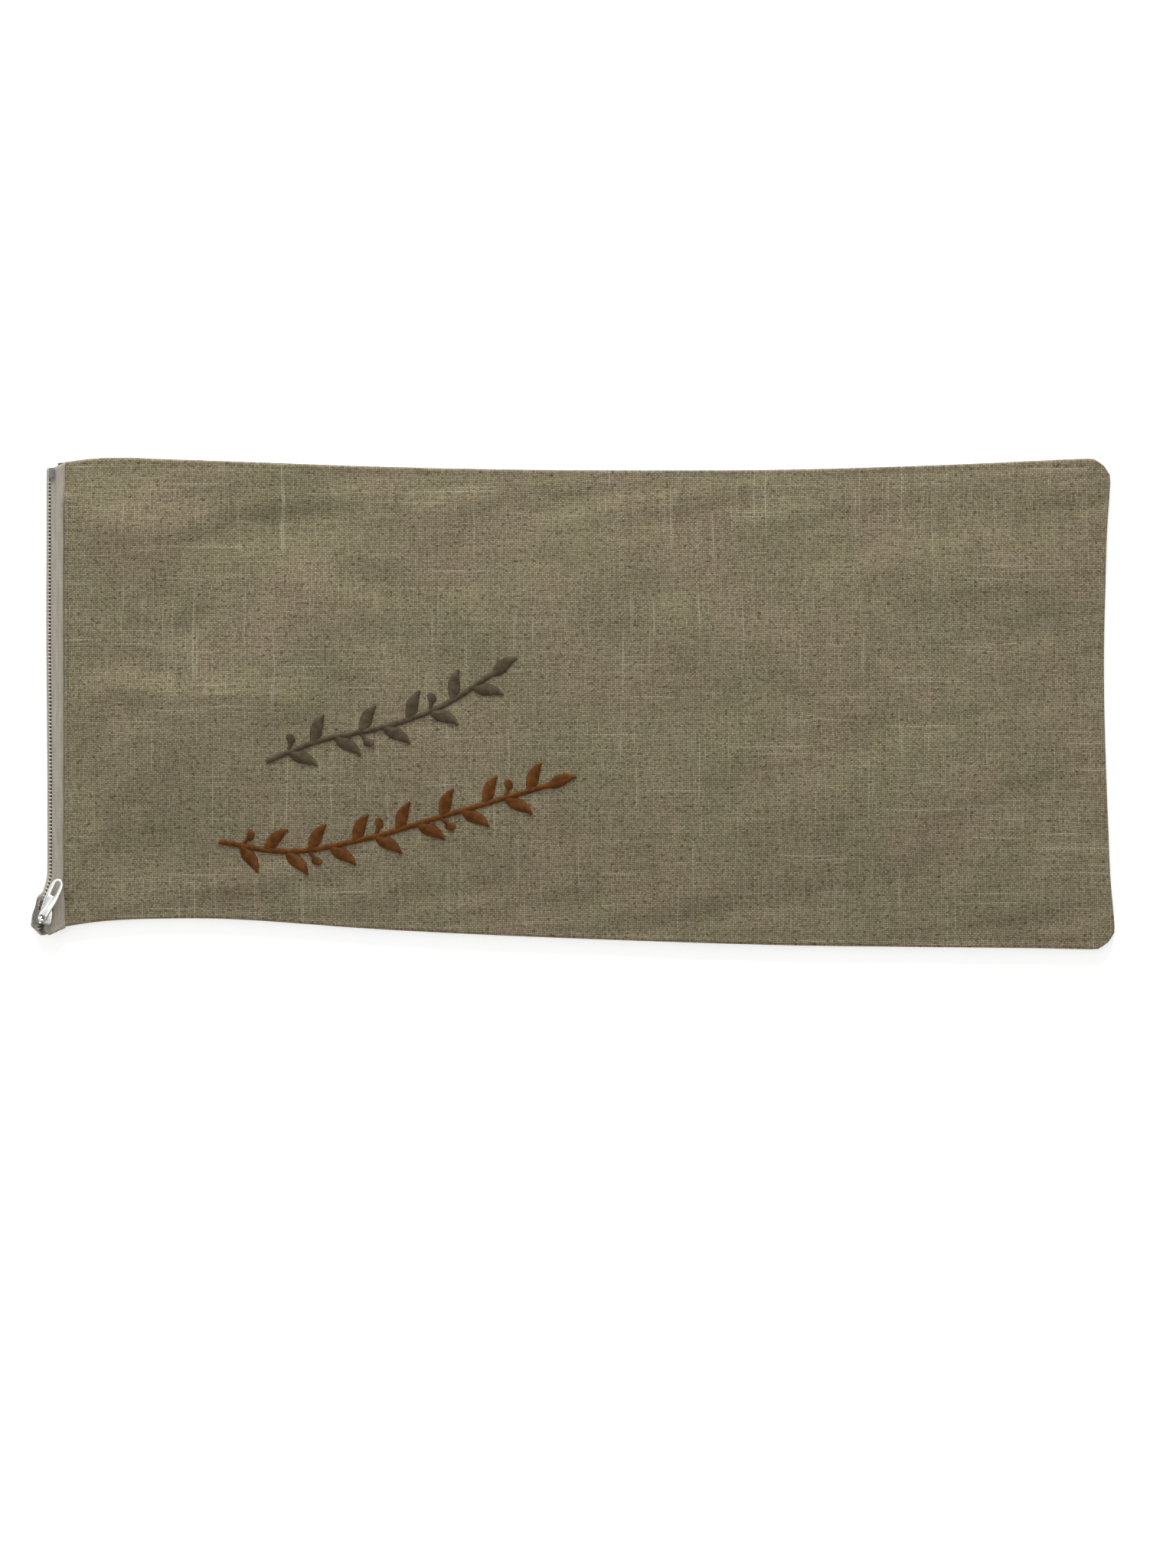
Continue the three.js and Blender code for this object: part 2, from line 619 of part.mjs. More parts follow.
const PLATE_IN = ROW_MIDDLE + CLEARANCE;
const PLATE_OUT = PLATE_IN + SLIDER_PLATE;
const FLOOR_IN = -COIL / 2 - CLEARANCE;
const FLOOR_OUT = FLOOR_IN - SLIDER_PLATE;
const BAR_HEIGHT = PLATE_OUT + CLEARANCE + BAR_TURNING;

const channelHalf = (along) => ROW_OUTER + givesWay(SLIDER_Y + along - 3 * CLEARANCE);

function sliderOutline(halfAt, from, to) {
  const STEPS = 10;
  const right = Array.from({ length: STEPS + 1 }, (_, i) => {
    const along = from + ((to - from) * i) / STEPS;
    return [halfAt(along), along];
  });
  const left = right.map(([x, y]) => [-x, y]).reverse();
  return [...right, ...left];
}

function slider() {
  const end = SLIDER_LENGTH / 2;
  const bodyHalf = (along) => {
    const corner = Math.max(0, Math.abs(along) - end + 1.5 * SLIDER_RAIL);
    return channelHalf(along) + SLIDER_RAIL - corner * corner;
  };
  const body = sliderOutline(bodyHalf, -end, end);
  const plate = sliderOutline((along) => bodyHalf(along) + SLIDER_BRIM, -end, end);
  const channel = sliderOutline(channelHalf, -end - SLIDER_RAIL, end + SLIDER_RAIL);
  const rails = joined([extruded(body, FLOOR_OUT, COIL / 2)], [extruded(channel, FLOOR_IN, COIL)]);
  const postFrom = SLIDER_RAIL - end;
  const post = block(-SLIDER_POST / 2, SLIDER_POST / 2, postFrom, postFrom + SLIDER_POST_LENGTH, FLOOR_OUT, PLATE_OUT);
  const slotX = -channelHalf(end) / 2;
  const slot = block(
    slotX - PIN_SLOT_WIDTH / 2, slotX + PIN_SLOT_WIDTH / 2,
    SLIDER_BRIM, SLIDER_BRIM + PIN_SLOT_LENGTH,
    PLATE_IN - CLEARANCE, PLATE_OUT + CLEARANCE,
  );
  return joined([extruded(plate, PLATE_IN, PLATE_OUT), rails, post, bridge()], [slot]);
}

// The bridge over the pull's bar: half a ring on two legs.
function bridge() {
  const outer = BRIDGE_BORE + BRIDGE_THICKNESS;
  const foot = PLATE_OUT - SLIDER_PLATE / 2 - BAR_HEIGHT;
  const ARC_STEPS = 10;
  const arc = (radius) => Array.from({ length: ARC_STEPS + 1 }, (_, i) => {
    const angle = (Math.PI * i) / ARC_STEPS;
    return [radius * Math.cos(angle), radius * Math.sin(angle)];
  });
  const outline = [
    [outer, foot], ...arc(outer), [-outer, foot],
    [-BRIDGE_BORE, foot], ...arc(BRIDGE_BORE).reverse(), [BRIDGE_BORE, foot],
  ];
  const strap = extruded(outline, -BRIDGE_WIDTH / 2, BRIDGE_WIDTH / 2);
  return placed(strap, (along, up, across) => [across, along - BRIDGE_BACK, up + BAR_HEIGHT]);
}

// The pull, from the middle of its bar: y towards its tip, z out of its face.
function pull() {
  const STEPS = 20;
  const half = (share) => EYE_HALF + (PULL_WIDTH / 2 - EYE_HALF) * follow(PULL_OUTLINE, 'along', 'wide', share);
  const right = Array.from({ length: STEPS + 1 }, (_, i) => {
    const share = 0.5 - Math.cos((Math.PI * i) / STEPS) / 2;
    return new THREE.Vector2(Math.max(PULL_BEVEL, half(share)), share * PULL_LENGTH - PULL_BAR / 2);
  });
  const left = right.map(({ x, y }) => new THREE.Vector2(-x, y)).reverse();
  const shape = new THREE.Shape([...right, ...left]);
  const eye = [
    [1, 0], [1, 0.8], [0.6, 1], [-0.6, 1], [-1, 0.8], [-1, 0],
  ].map(([x, y]) => new THREE.Vector2((x * PULL_EYE_WIDTH) / 2, PULL_BAR / 2 + y * PULL_EYE_LENGTH));
  const slotRadius = PULL_SLOT_WIDTH / 2;
  const slotTop = PULL_LENGTH - PULL_BAR / 2 - PULL_SLOT_RIM - slotRadius;
  const slot = new THREE.Path();
  slot.absarc(0, slotTop, slotRadius, 0, Math.PI);
  slot.absarc(0, slotTop - PULL_SLOT_LENGTH + PULL_SLOT_WIDTH, slotRadius, Math.PI, 2 * Math.PI);
  shape.holes.push(new THREE.Path(eye), slot);
  const geometry = new THREE.ExtrudeGeometry(shape, {
    depth: PULL_THICKNESS - 2 * PULL_BEVEL,
    bevelThickness: PULL_BEVEL,
    bevelSize: PULL_BEVEL,
    bevelOffset: -PULL_BEVEL,
    bevelSegments: 1,
    curveSegments: 6,
  });
  return geometry.translate(0, 0, PULL_BEVEL - PULL_THICKNESS / 2);
}

// The embroidery: stitched strips laid out flat, joined into one, then laid on the linen.

// A strip with a satin stitch's rounded section along a line of points.
function stitched(line, halfWidths) {
  const rings = line.map(([x, y], i) => {
    const [beforeX, beforeY] = line[Math.max(0, i - 1)];
    const [afterX, afterY] = line[Math.min(line.length - 1, i + 1)];
    const length = Math.hypot(afterX - beforeX, afterY - beforeY);
    const [acrossX, acrossY] = [(afterY - beforeY) / length, (beforeX - afterX) / length];
    return STITCH_SECTION.map(({ across, up }) => {
      const out = across * halfWidths[i];
      return [x + acrossX * out, y + acrossY * out, up * THREAD_RISE];
    });
  });
  return lofted(rings, fan);
}

function leaf([x, y], angle) {
  const line = LEAF_SHAPE.map(({ along }) => {
    const bent = angle + 0.25 * along * (1 - along);
    return [x + along * LEAF_LENGTH * Math.cos(bent), y + along * LEAF_LENGTH * Math.sin(bent)];
  });
  return stitched(line, LEAF_SHAPE.map(({ wide }) => (wide * LEAF_WIDTH) / 2));
}

function berry([x, y], angle) {
  const [cos, sin] = [Math.cos(angle), Math.sin(angle)];
  const [endX, endY] = [x + cos * BERRY_STALK, y + sin * BERRY_STALK];
  const stalk = stitched([[x, y], [(x + endX) / 2, (y + endY) / 2], [endX, endY]], Array(3).fill(STEM_WIDTH / 3));
  const fruit = new THREE.CylinderGeometry(0.3 * BERRY, 0.5 * BERRY, THREAD_RISE, 8);
  fruit.rotateX(Math.PI / 2).translate(endX, endY, THREAD_RISE / 2);
  return [stalk, fruit];
}

// The height of a skin's top over a place.
function topOf(geometry) {
  const { position } = geometry.attributes;
  const corner = (i) => [position.getX(i), position.getY(i), position.getZ(i)];
  const corners = [...geometry.index.array].map(corner);
  const triangles = evenly(0, corners.length / 3 - 1, 1).map((i) => corners.slice(3 * i, 3 * i + 3));
  return (x, y) => {
    let top = 0;
    for (const [[ax, ay, az], [bx, by, bz], [cx, cy, cz]] of triangles) {
      const area = (bx - ax) * (cy - ay) - (by - ay) * (cx - ax);
      const b = ((x - ax) * (cy - ay) - (y - ay) * (cx - ax)) / area;
      const c = ((bx - ax) * (y - ay) - (by - ay) * (x - ax)) / area;
      if (b >= 0 && c >= 0 && b + c <= 1) top = Math.max(top, az + b * (bz - az) + c * (cz - az));
    }
    return top;
  };
}

// A sprig: leaves on both sides of a stem by turns, berries between them, and a leaf at the tip.
function sprig(stem, topAt) {
  const from = stem[0].along;
  const span = stem[stem.length - 1].along - from;
  const at = (share) => {
    const along = from + span * share;
    return [along * BAG_LENGTH, follow(stem, 'along', 'across', along) * HALF_WIDTH];
  };
  const heading = (share) => {
    const [fromX, fromY] = at(share - 0.01);
    const [toX, toY] = at(share + 0.01);
    return Math.atan2(toY - fromY, toX - fromX);
  };
  const stemLine = evenly(0, 1, 10 / (span * BAG_LENGTH)).map(at);
  const parts = [stitched(stemLine, stemLine.map(() => STEM_WIDTH / 2)), leaf(at(0.99), heading(1))];
  const count = Math.round((span * BAG_LENGTH) / LEAF_SPACING);
  for (let i = 1; i < count; i += 1) {
    const share = i / count;
    const side = i % 2 === 0 ? 1 : -1;
    parts.push(leaf(at(share), heading(share) + side * LEAF_ANGLE * RAD));
    if (i % 3 === 1) parts.push(...berry(at(share), heading(share) - side * 1.25 * LEAF_ANGLE * RAD));
  }
  return placed(joined(parts), (x, y, z) => [x, y, topAt(x, y) + THREAD_GAP + z]);
}

// The pieces

const LINEN = 0x7e7360;
const TAPE_CREAM = 0xa29b8d;
const NICKEL = 0xd2d2cf;

const bag = new THREE.Group();
const frontPanel = panel(0, frontZ, -1, PANEL_RINGS, PANEL_RINGS);
bag.add(piece('front_panel', frontPanel, LINEN, 0.9, 0));
bag.add(piece('back_panel', panel(-BACK_MOUTH_SHIFT, () => 0, 1, [], []), LINEN, 0.9, 0));
bag.add(piece('zipper_tape_front', tape(frontTapeLine, -1), TAPE_CREAM, 0.8, 0));
bag.add(piece('zipper_tape_back', tape(backTapeLine, 1), TAPE_CREAM, 0.8, 0));
bag.add(piece('zipper_coil_front', toothedRow(1), TAPE_CREAM, 0.5, 0));
bag.add(piece('zipper_coil_back', toothedRow(-1), TAPE_CREAM, 0.5, 0));
bag.add(piece('embroidery_taupe', sprig(TAUPE_STEM, topOf(frontPanel)), 0x64584b, 0.6, 0));
bag.add(piece('embroidery_rust', sprig(RUST_STEM, topOf(frontPanel)), 0x8c4c1c, 0.6, 0));

const stop = piece('bottom_stop', bottomStop(), 0x55534e, 0.4, 0.9);
const stopStation = zipAt(ZIP_UPPER_END - STOP_LENGTH);
stop.position.set(stopStation.x - TAPE / 2, stopStation.y, stopStation.z);
bag.add(stop);

const sliderGroup = new THREE.Group();
const sliderStation = zipAt(SLIDER_Y);
const [aboveIt, belowIt] = [zipAt(SLIDER_Y + SLIDER_LENGTH / 3), zipAt(SLIDER_Y - SLIDER_LENGTH / 3)];
const slant = Math.atan2(aboveIt.x - belowIt.x, aboveIt.y - belowIt.y);
sliderGroup.position.set(sliderStation.x, sliderStation.y, sliderStation.z);
sliderGroup.rotation.set(0, -SLIDER_TILT * RAD, -slant, 'ZYX');
sliderGroup.add(piece('slider', slider(), NICKEL, 0.25, 1));
bag.add(sliderGroup);

const pullTab = piece('pull_tab', pull(), NICKEL, 0.2, 1);
sliderGroup.updateMatrix();
pullTab.position.set(0, -BRIDGE_BACK, BAR_HEIGHT).applyMatrix4(sliderGroup.matrix);
pullTab.rotation.set(PULL_LIFT * RAD, -PULL_ROLL * RAD, -PULL_TURN * RAD, 'ZYX');
bag.add(pullTab);

// The origin: on the surface, under the middle of the whole bag.
const extent = new THREE.Box3().setFromObject(bag, true);
const middle = extent.getCenter(new THREE.Vector3());
bag.position.set(-middle.x, -middle.y, -extent.min.z);

export default bag;
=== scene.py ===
# %% [markdown]
# # A linen bag for a shofar
#
# The bag lies flat on its back: two linen panels sewn on three sides, with a zip along
# the short end on the left. Two sprigs are embroidered on the front. The CAD model gives
# every piece its place and its thickness. This lesson gives each one the shape of real
# cloth, thread and metal, and a finish at its true scale.

# %% Load the frame
import math

import bmesh
import bpy
import numpy as np
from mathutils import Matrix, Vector
from mathutils.bvhtree import BVHTree


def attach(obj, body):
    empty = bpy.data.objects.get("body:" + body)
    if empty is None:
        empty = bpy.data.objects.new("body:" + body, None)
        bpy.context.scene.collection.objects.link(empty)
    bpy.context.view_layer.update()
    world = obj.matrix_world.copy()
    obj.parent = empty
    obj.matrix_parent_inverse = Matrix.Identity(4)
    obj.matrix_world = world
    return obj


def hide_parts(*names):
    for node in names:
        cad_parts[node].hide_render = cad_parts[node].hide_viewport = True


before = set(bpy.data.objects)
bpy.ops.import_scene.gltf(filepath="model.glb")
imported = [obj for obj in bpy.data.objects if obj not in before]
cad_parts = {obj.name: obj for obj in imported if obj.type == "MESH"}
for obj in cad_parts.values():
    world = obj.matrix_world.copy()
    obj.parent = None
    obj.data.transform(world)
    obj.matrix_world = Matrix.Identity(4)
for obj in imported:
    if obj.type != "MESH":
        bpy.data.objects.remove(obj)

MM = 0.001
scene = bpy.context.scene
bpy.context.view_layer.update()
print("nodes:", sorted(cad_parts))

# %% [markdown]
# ## Camera, floor and light
#
# The photograph looks straight down. A camera 2.2 m above the bag gives almost no
# perspective. One millimetre covers three pixels of the 1536 by 2048 image, and that
# fixes the focal length. The light is a white room with one large soft lamp that comes
# in low from the picture's upper side, because a low light shows the folds and the weave.
# A small lamp overhead is there for the metal alone: a flat plate of nickel mirrors it.

# %% Camera
PIXELS_PER_MM = 3.0
IMAGE = (1536, 2048)
CAMERA_HEIGHT = 2.2
IMAGE_CENTRE = (6.53 * MM, -35.1 * MM)
SCALED_HEIGHT = 5 * MM  # the level where the scale is exact, half way up the bag
SENSOR = 36.0


def in_scene(name, data):
    """A new object of the scene, at the origin."""
    made = bpy.data.objects.new(name, data)
    scene.collection.objects.link(made)
    return made


camera_data = bpy.data.cameras.new("camera")
camera = in_scene("camera", camera_data)
camera.location = (*IMAGE_CENTRE, CAMERA_HEIGHT)
long_side = IMAGE[1] / PIXELS_PER_MM * MM
camera_data.sensor_width = SENSOR
camera_data.lens = SENSOR * (CAMERA_HEIGHT - SCALED_HEIGHT) / long_side
scene.camera = camera
scene.view_settings.view_transform = "Standard"
print("lens", round(camera_data.lens, 1), "mm")


# %% Small helpers for node trees
def wire(tree, value, socket):
    """Link a node or a socket to an input, or set the input's own value."""
    if isinstance(value, bpy.types.Node):
        value = value.outputs[0]
    if isinstance(value, bpy.types.NodeSocket):
        tree.links.new(value, socket)
    else:
        socket.default_value = value


def add(tree, kind, inputs=None, **settings):
    made = tree.nodes.new(kind)
    for name, value in settings.items():
        setattr(made, name, value)
    for name, value in (inputs or {}).items():
        wire(tree, value, made.inputs[name])
    return made


def calc(tree, operation, *values):
    made = tree.nodes.new("ShaderNodeMath")
    made.operation = operation
    for socket, value in zip(made.inputs, values):
        wire(tree, value, socket)
    return made


def finish_of(name, **values):
    """A material whose shader is ready, with its uniform values set."""
    material = bpy.data.materials.new(name)
    material.use_nodes = True
    shader = material.node_tree.nodes["Principled BSDF"]
    for socket, value in values.items():
        shader.inputs[socket.replace("_", " ")].default_value = value
    return material, material.node_tree, shader


def rgb(red, green, blue):
    """A colour as a photograph's editor names it, 0 to 255, made linear."""
    def linear(value):
        value /= 255
        return value / 12.92 if value <= 0.04045 else ((value + 0.055) / 1.055) ** 2.4
    return (*map(linear, (red, green, blue)), 1.0)


# %% Floor and lights
FLOOR_SIZE, FLOOR_GAP = 6.0, 0.1 * MM
GLOW = 0.5  # of the floor and of the room
floor_mesh = bpy.data.meshes.new("floor")
half = FLOOR_SIZE / 2
corners = [(-half, -half, 0), (half, -half, 0), (half, half, 0), (-half, half, 0)]
floor_mesh.from_pydata(corners, [], [(0, 1, 2, 3)])
floor = in_scene("floor", floor_mesh)
floor.location.z = -FLOOR_GAP
floor_paint, _, _ = finish_of(
    "floor_paint", Base_Color=(0.9, 0.9, 0.9, 1), Roughness=0.9,
    Emission_Color=(1, 1, 1, 1), Emission_Strength=GLOW,
)
floor_mesh.materials.append(floor_paint)

world = bpy.data.worlds.new("studio")
world.use_nodes = True
world.node_tree.nodes["Background"].inputs["Color"].default_value = (1, 1, 1, 1)
world.node_tree.nodes["Background"].inputs["Strength"].default_value = GLOW
scene.world = world


def lamp(name, place, size, watts):
    data = bpy.data.lights.new(name, "AREA")
    data.shape = "RECTANGLE"
    data.size, data.size_y = size
    data.energy = watts
    made = in_scene(name, data)
    made.location = place
    made.rotation_euler = (-Vector(place)).to_track_quat("-Z", "Y").to_euler()


lamp("window", (-0.2, 2.3, 0.8), (1.6, 1.0), 71)
lamp("softbox", (-1.2, 0.3, 2.8), (1.1, 1.1), 4.6)
print("floor and lights are in")

# %% [markdown]
# ## The linen's shape
#
# A stitched pouch has no flat face: the cloth swells between its seams, dips where it
# has been folded, and rolls over at each edge. A box with a bump map can't show that in
# profile. So the front is one fine grid, laid between the four edge curves of the CAD
# panel and dropped on its surface.

# %% Read a CAD node
WELD = 0.002 * MM
UPWARD = 0.02  # a face's least upward slope to count as the upper side


def cad_surface(node):
    """The node's triangles, joined into one surface."""
    surface = bmesh.new()
    surface.from_mesh(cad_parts[node].data)
    bmesh.ops.remove_doubles(surface, verts=surface.verts, dist=WELD)
    surface.normal_update()
    return surface


def silhouette(surface):
    """The loop of points where the upward faces meet the rest, seen from above."""
    links = {}
    for edge in surface.edges:
        up = [face.normal.z > UPWARD for face in edge.link_faces]
        if len(up) == 2 and up[0] != up[1]:
            a, b = edge.verts
            links.setdefault(a, []).append(b)
            links.setdefault(b, []).append(a)
    start = min(links, key=lambda v: v.co.x + v.co.y)
    loop, last, here = [start], None, start
    while True:
        onward = [v for v in links[here] if v is not last and v is not start]
        if not onward or len(loop) > len(links):
            break
        last, here = here, onward[0]
        loop.append(here)
    return np.array([v.co.xy for v in loop])


front_cad = cad_surface("front_panel")
back_cad = cad_surface("back_panel")
front_outline = silhouette(front_cad)
back_outline = silhouette(back_cad)
print("outline points:", len(front_outline), len(back_outline))


# %% Four edge curves
def smooth_line(points, shares):
    """A smooth curve through the points, read at shares of its length."""
    points = np.asarray(points, float)
    ends = [2 * points[:1] - points[1:2], points, 2 * points[-1:] - points[-2:-1]]
    padded = np.concatenate(ends)
    steps = np.linalg.norm(np.diff(points, axis=0), axis=1)
    reach = np.concatenate([[0], np.cumsum(steps)]) / steps.sum()
    shares = np.clip(shares, 0, 1)
    i = np.clip(np.searchsorted(reach, shares, side="right") - 1, 0, len(steps) - 1)
    t = ((shares - reach[i]) / (reach[i + 1] - reach[i]))[:, None]
    before, a, b, after = (padded[i + k] for k in range(4))
    return 0.5 * (2 * a + (b - before) * t + (2 * before - 5 * a + 4 * b - after) * t**2
                  + (3 * a - before - 3 * b + after) * t**3)


def edge_curves(outline):
    """The outline cut at its four corners into the lower, far, upper and mouth edge.

    The lower and upper edge run from left to right, the other two upwards."""
    x, y = outline.T
    corners = [np.argmin(x + y), np.argmax(x - y), np.argmax(x + y), np.argmin(x - y)]
    rolled = np.roll(outline, -corners[0], axis=0)
    cuts = [(c - corners[0]) % len(outline) for c in corners]
    if cuts[1] > cuts[2]:
        rolled = np.roll(rolled[::-1], 1, axis=0)
        cuts = [(len(outline) - c) % len(outline) for c in cuts]
    closed = np.concatenate([rolled, rolled[:1]])
    lower, far, upper = (closed[cuts[k]:cuts[k + 1] + 1] for k in range(3))
    mouth = closed[cuts[3]:]
    return lower, far, upper[::-1], mouth[::-1]


EDGE_INSETS = np.array([0, 0.12, 0.35, 0.7, 1.15, 1.8, 2.6])  # millimetres in from an edge


def grid_shares(curve, step):
    length = np.linalg.norm(np.diff(curve, axis=0), axis=1).sum() / MM
    middle = np.linspace(EDGE_INSETS[-1], length - EDGE_INSETS[-1], round(length / step))
    insets = np.concatenate([EDGE_INSETS[:-1], middle, length - EDGE_INSETS[-2::-1]])
    return insets / length


def cloth_grid(outline, step):
    """A grid of points between the four edge curves, as [along, across, xy]."""
    curves = edge_curves(outline)
    u, v = grid_shares(curves[0], step), grid_shares(curves[3], step)
    lower, upper = smooth_line(curves[0], u)[:, None], smooth_line(curves[2], u)[:, None]
    far, mouth = smooth_line(curves[1], v)[None], smooth_line(curves[3], v)[None]
    s, t = u[:, None, None], v[None, :, None]
    corners = ((1 - s) * (1 - t) * lower[0, 0] + s * (1 - t) * lower[-1, 0]
               + (1 - s) * t * upper[0, 0] + s * t * upper[-1, 0])
    return (1 - t) * lower + t * upper + (1 - s) * mouth + s * far - corners


LINEN_STEP = 1.7
front_grid = cloth_grid(front_outline, LINEN_STEP)
back_grid = cloth_grid(back_outline, 2 * LINEN_STEP)
print("front grid", front_grid.shape, "back grid", back_grid.shape)


# %% Heights from the CAD surface
def fall(tree, x, y):
    """Where a plumb line at x and y first meets the surface, or None."""
    return tree.ray_cast(Vector((x, y, 1)), Vector((0, 0, -1)))[0]


def drop_on(surface, grid):
    """The surface's height under each point of the grid, filled in along the edges."""
    tree = BVHTree.FromBMesh(surface)
    heights = np.full(grid.shape[:2], np.nan)
    for index in np.ndindex(heights.shape):
        hit = fall(tree, *grid[index])
        if hit is not None:
            heights[index] = hit.z
    inner = len(EDGE_INSETS) - 1
    for axis in (0, 1):
        rows = np.moveaxis(heights, axis, 0)
        rows[:inner] = rows[inner]
        rows[-inner:] = rows[-inner - 1]
    return heights


def blurred(values, rounds):
    """Each value as the mean of its four neighbours, again and again."""
    for _ in range(rounds):
        padded = np.pad(values, 1, mode="edge")
        values = (padded[:-2, 1:-1] + padded[2:, 1:-1] + padded[1:-1, :-2] + padded[1:-1, 2:]) / 4
    return values


def soften(heights, rounds):
    """Blur the facets away, without moving the border."""
    inner = slice(len(EDGE_INSETS), -len(EDGE_INSETS))
    for _ in range(rounds):
        heights[inner, inner] = blurred(heights, 1)[inner, inner]
    return heights


EDGE_POINTS = 240  # points of an edge that distances are taken to
FACET_ROUNDS = 60  # rounds of blur that take the CAD facets away


def edge_distance(grid, outline):
    """How far each point lies inside the sewn edges and inside the mouth, in millimetres."""
    lower, far, upper, mouth = edge_curves(outline)
    shares = np.linspace(0, 1, EDGE_POINTS)
    edge = np.concatenate([smooth_line(curve, shares) for curve in (lower, far, upper)])
    sewn = [np.linalg.norm(row[:, None] - edge[None], axis=2).min(axis=1) for row in grid]
    to_mouth = grid[..., 0] - mouth[:, 0].mean()
    return np.array(sewn) / MM, to_mouth / MM


def span(values):
    return f"{values.min() / MM:.2f} to {values.max() / MM:.2f} mm"


front_heights = soften(drop_on(front_cad, front_grid), FACET_ROUNDS)
front_sewn, front_mouth = edge_distance(front_grid, front_outline)
print("front height", span(front_heights))

# %% [markdown]
# ## Folds and puckers
#
# The seams gather the cloth a little, so short ripples run in from them and fade within
# a few centimetres. A bag kept folded also has soft hollows near its mouth. Each ripple
# is a sum of a few waves of uneven length, which looks less drawn than one wave.

# %% Ripples along the seams
SEAM_LINE = 3.4  # millimetres from the edge to the sewn line
SEAM_WIDTH, SEAM_DEPTH = 0.7, 0.16
RIPPLE = 0.3  # height of the puckers
RIPPLE_START, RIPPLE_REACH = 4, 13  # where they come up, and how far they run in
SWELL = 0.09  # height of the broad, shallow swells


def waves(along, lengths, shifts):
    pairs = zip(lengths, shifts)
    total = sum(np.sin(2 * math.pi * along / length + shift) for length, shift in pairs)
    return total / len(lengths)


x_mm, y_mm = front_grid[..., 0] / MM, front_grid[..., 1] / MM
fade = np.exp(-front_sewn / RIPPLE_REACH) * (1 - np.exp(-front_sewn / RIPPLE_START))
ripples = waves(x_mm + 0.25 * y_mm, (17.3, 27.1, 41.7, 11.9), (0.4, 2.1, 4.4, 1.2))
ripples += waves(y_mm - 0.2 * x_mm, (15.9, 24.7, 37.1), (1.7, 0.3, 3.9))
groove = np.exp(-(((front_sewn - SEAM_LINE) / SEAM_WIDTH) ** 2))
border = np.clip((front_sewn - 2) / 12, 0, 1) * np.clip((front_mouth - 1) / 8, 0, 1)
swells = waves(x_mm * 0.9 + y_mm * 0.5, (88, 61, 143), (0.5, 1.9, 3.1))
swells += waves(y_mm * 1.1 - x_mm * 0.35, (73, 52, 120), (2.2, 0.7, 4.1))
puckers = 2.1 * RIPPLE * fade * ripples
front_heights += MM * (puckers - SEAM_DEPTH * groove + SWELL * swells * border)

# Soft folds, most of them near the mouth: place, half length, how far each falls above
# and below its crest, turn in degrees, height.
SOFT_FOLDS = (
    (-170, 3, 46, 8, 48, -4, 2.4), (-214, -28, 12, 14, 14, 0, -1.0),
    (-190, -66, 30, 14, 20, 20, -1.5), (-168, 31, 9, 6, 8, 40, -1.4),
    (-190, 76, 22, 9, 17, -5, 1.7), (-128, 77, 26, 9, 12, 4, -1.5),
    (-108, 47, 26, 8, 22, -18, 1.0), (-140, -78, 34, 8, 18, 8, 0.9),
    (-60, 84, 30, 9, 14, -6, 0.5), (-85, 10, 40, 12, 26, -24, 0.3),
    (40, 30, 60, 14, 30, -12, 0.25), (120, -40, 55, 14, 30, 15, 0.25),
)
for place_x, place_y, long, above, below, turn, tall in SOFT_FOLDS:
    cos, sin = math.cos(math.radians(turn)), math.sin(math.radians(turn))
    along = (x_mm - place_x) * cos + (y_mm - place_y) * sin
    across = (y_mm - place_y) * cos - (x_mm - place_x) * sin
    wide = np.where(across > 0, above, below)
    front_heights += MM * tall * np.exp(-((along / long) ** 2) - (across / wide) ** 2) * border

# Creases by the upper edge, near the mouth: place, half width, height, reach into the cloth.
CREASES = (
    (-186, 4.2, 0.55, 22), (-155, 5.5, 0.42, 26), (-141, 3.2, -0.35, 20), (-206, 3.4, -0.3, 30),
)
UPPER_EDGE, CREASE_LEAN = 107, 0.12
below_edge = np.clip(UPPER_EDGE - y_mm, 0, None)
for place, wide, tall, deep in CREASES:
    off_crest = x_mm - place - CREASE_LEAN * below_edge
    shape = np.exp(-((off_crest / wide) ** 2) - (below_edge / deep) ** 2)
    front_heights += MM * tall * shape * np.clip(front_sewn / 4, 0, 1)
print("ripples and creases added")

# %% [markdown]
# ## The cloth buckles
#
# Placed folds alone look drawn. Real linen is a little longer than the space between its
# seams, so it buckles. A short cloth simulation on a coarse copy finds those buckles: its
# sewn edges are held, and the cloth is let grow by half a percent. The bag would swell as
# a whole too, so only the short waves of the result are kept, and the fine grid reads them
# back.

# %% Let a coarse copy of the front buckle
COARSE = 3  # every third point of the fine grid
BUCKLE_FRAMES = 24
SLACK = 0.005  # how much longer the cloth is than its place
BUCKLE_CAP = 0.6  # millimetres that a point may move
SWELL_ROUNDS = 40  # rounds of blur that give the broad swelling, which is taken away
FINE_ROUNDS = 6  # rounds of blur on the fine grid


def grid_faces(rows, columns):
    """The point numbers of a grid, and the corners of its faces."""
    index = np.arange(rows * columns).reshape(rows, columns)
    quads = np.stack([index[:-1, :-1], index[1:, :-1], index[1:, 1:], index[:-1, 1:]], -1)
    return index, quads.reshape(-1, 4)


